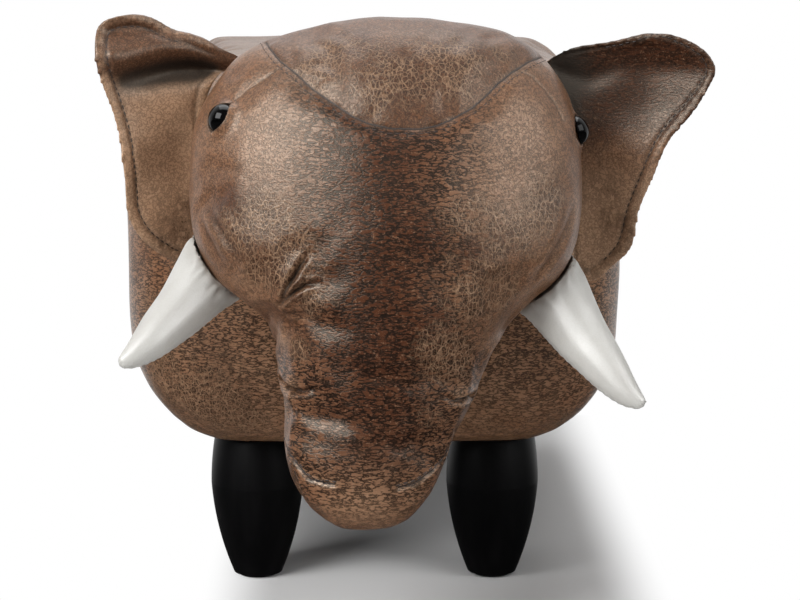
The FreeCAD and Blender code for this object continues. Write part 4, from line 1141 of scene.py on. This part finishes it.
def seesWhite(f, behind):
    # 1 for the camera, and for the reflections that reach the backdrop; 0 for the light on the object
    direct, glossy, clear = (ray(f, kind) for kind in ("Camera", "Glossy", "Transmission"))
    return direct.maths("MAXIMUM", clear).maths("MAXIMUM", glossy * behind)


# the white starts this far from the middle, aside and ahead
floorPlan = {
    "radius": 14, "middle": (-0.02, -0.1, 0), "aside": (0.1, 0.15), "ahead": (0.257, 0.297),
    "matt": (0.8, 0.8, 0.8, 1), "card": (0.08, 0.08, 0.08, 1), "behind": (-0.1, 0.3),
}


def floorPiece():
    plan = floorPlan
    mesh = bpy.data.meshes.new("floor")
    with edited(mesh) as made:
        bmesh.ops.create_circle(made, cap_ends=True, segments=96, radius=plan["radius"])
    floor = placed("floor", mesh)
    f = Finish("floorWhite")
    away = f.node("ShaderNodeVectorMath", {"operation": "ADD"}, {0: f.place(1), 1: plan["middle"]})
    aside, ahead = (f.node("ShaderNodeSeparateXYZ", {}, {"Vector": away}, axis) for axis in "XY")
    reach = aside.maths("ABSOLUTE").between(*plan["aside"])
    reach = reach.maths("MAXIMUM", ahead.maths("ABSOLUTE").between(*plan["ahead"]))
    matt, card = (f.node("ShaderNodeBsdfDiffuse", {}, {"Color": plan[name]}) for name in ("matt", "card"))
    white = f.node("ShaderNodeEmission", {}, {"Color": (1, 1, 1, 1), "Strength": 1.0})
    # in front of the object a dark card hides the floor from reflections
    behind = ahead.between(*plan["behind"])
    matt = f.node("ShaderNodeMixShader", {}, {0: ray(f, "Glossy") * (1 - behind), 1: matt, 2: card})
    mix = f.node("ShaderNodeMixShader", {}, {0: reach * seesWhite(f, behind), 1: matt, 2: white})
    f.ended(mix)
    mesh.materials.append(f.made)


def worldLight(level):
    f = Finish("paleRoom", "worlds")
    way = f.node("ShaderNodeTexCoord", {}, {}, "Generated")
    depth = f.node("ShaderNodeSeparateXYZ", {}, {"Vector": way}, "Y")
    glows = ({"Color": (1, 1, 1, 1), "Strength": power} for power in (level, 1))
    room, white = (f.node("ShaderNodeBackground", {}, glow) for glow in glows)
    mix = f.node("ShaderNodeMixShader", {}, {0: seesWhite(f, depth.between(-0.25, 0.3)), 1: room, 2: white})
    f.ended(mix, "ShaderNodeOutputWorld")
    bpy.context.scene.world = f.made


# place, size, power, and whether it lights matt surfaces too
lampPlan = {
    "keyLeft": ((-0.97, -1.19, 1.1), 1, 25, True),
    "shineLeft": ((-0.97, -1.19, 1.1), 1, 46, False),
    "fillRight": ((1.2, -1, 1), 1, 8, True),
    "shineRight": ((1.2, -1, 1), 1, 44, False),
    "overhead": ((0, 0.25, 1.7), 1.3, 16, True),
}
for name, (place, size, power, lights) in lampPlan.items():
    data = bpy.data.lights.new(name, "AREA")
    data.shape = "SQUARE"
    data.size = size
    data.energy = power
    lamp = placed(name, data)
    lamp.location = place
    lamp.visible_diffuse = lights
    lamp.rotation_euler = (Vector((0, -0.1, 0.2)) - Vector(place)).to_track_quat("-Z", "Y").to_euler()
floorPiece()
worldLight(0.1)
bpy.context.scene.view_settings.view_transform = "Standard"
print("stage made")
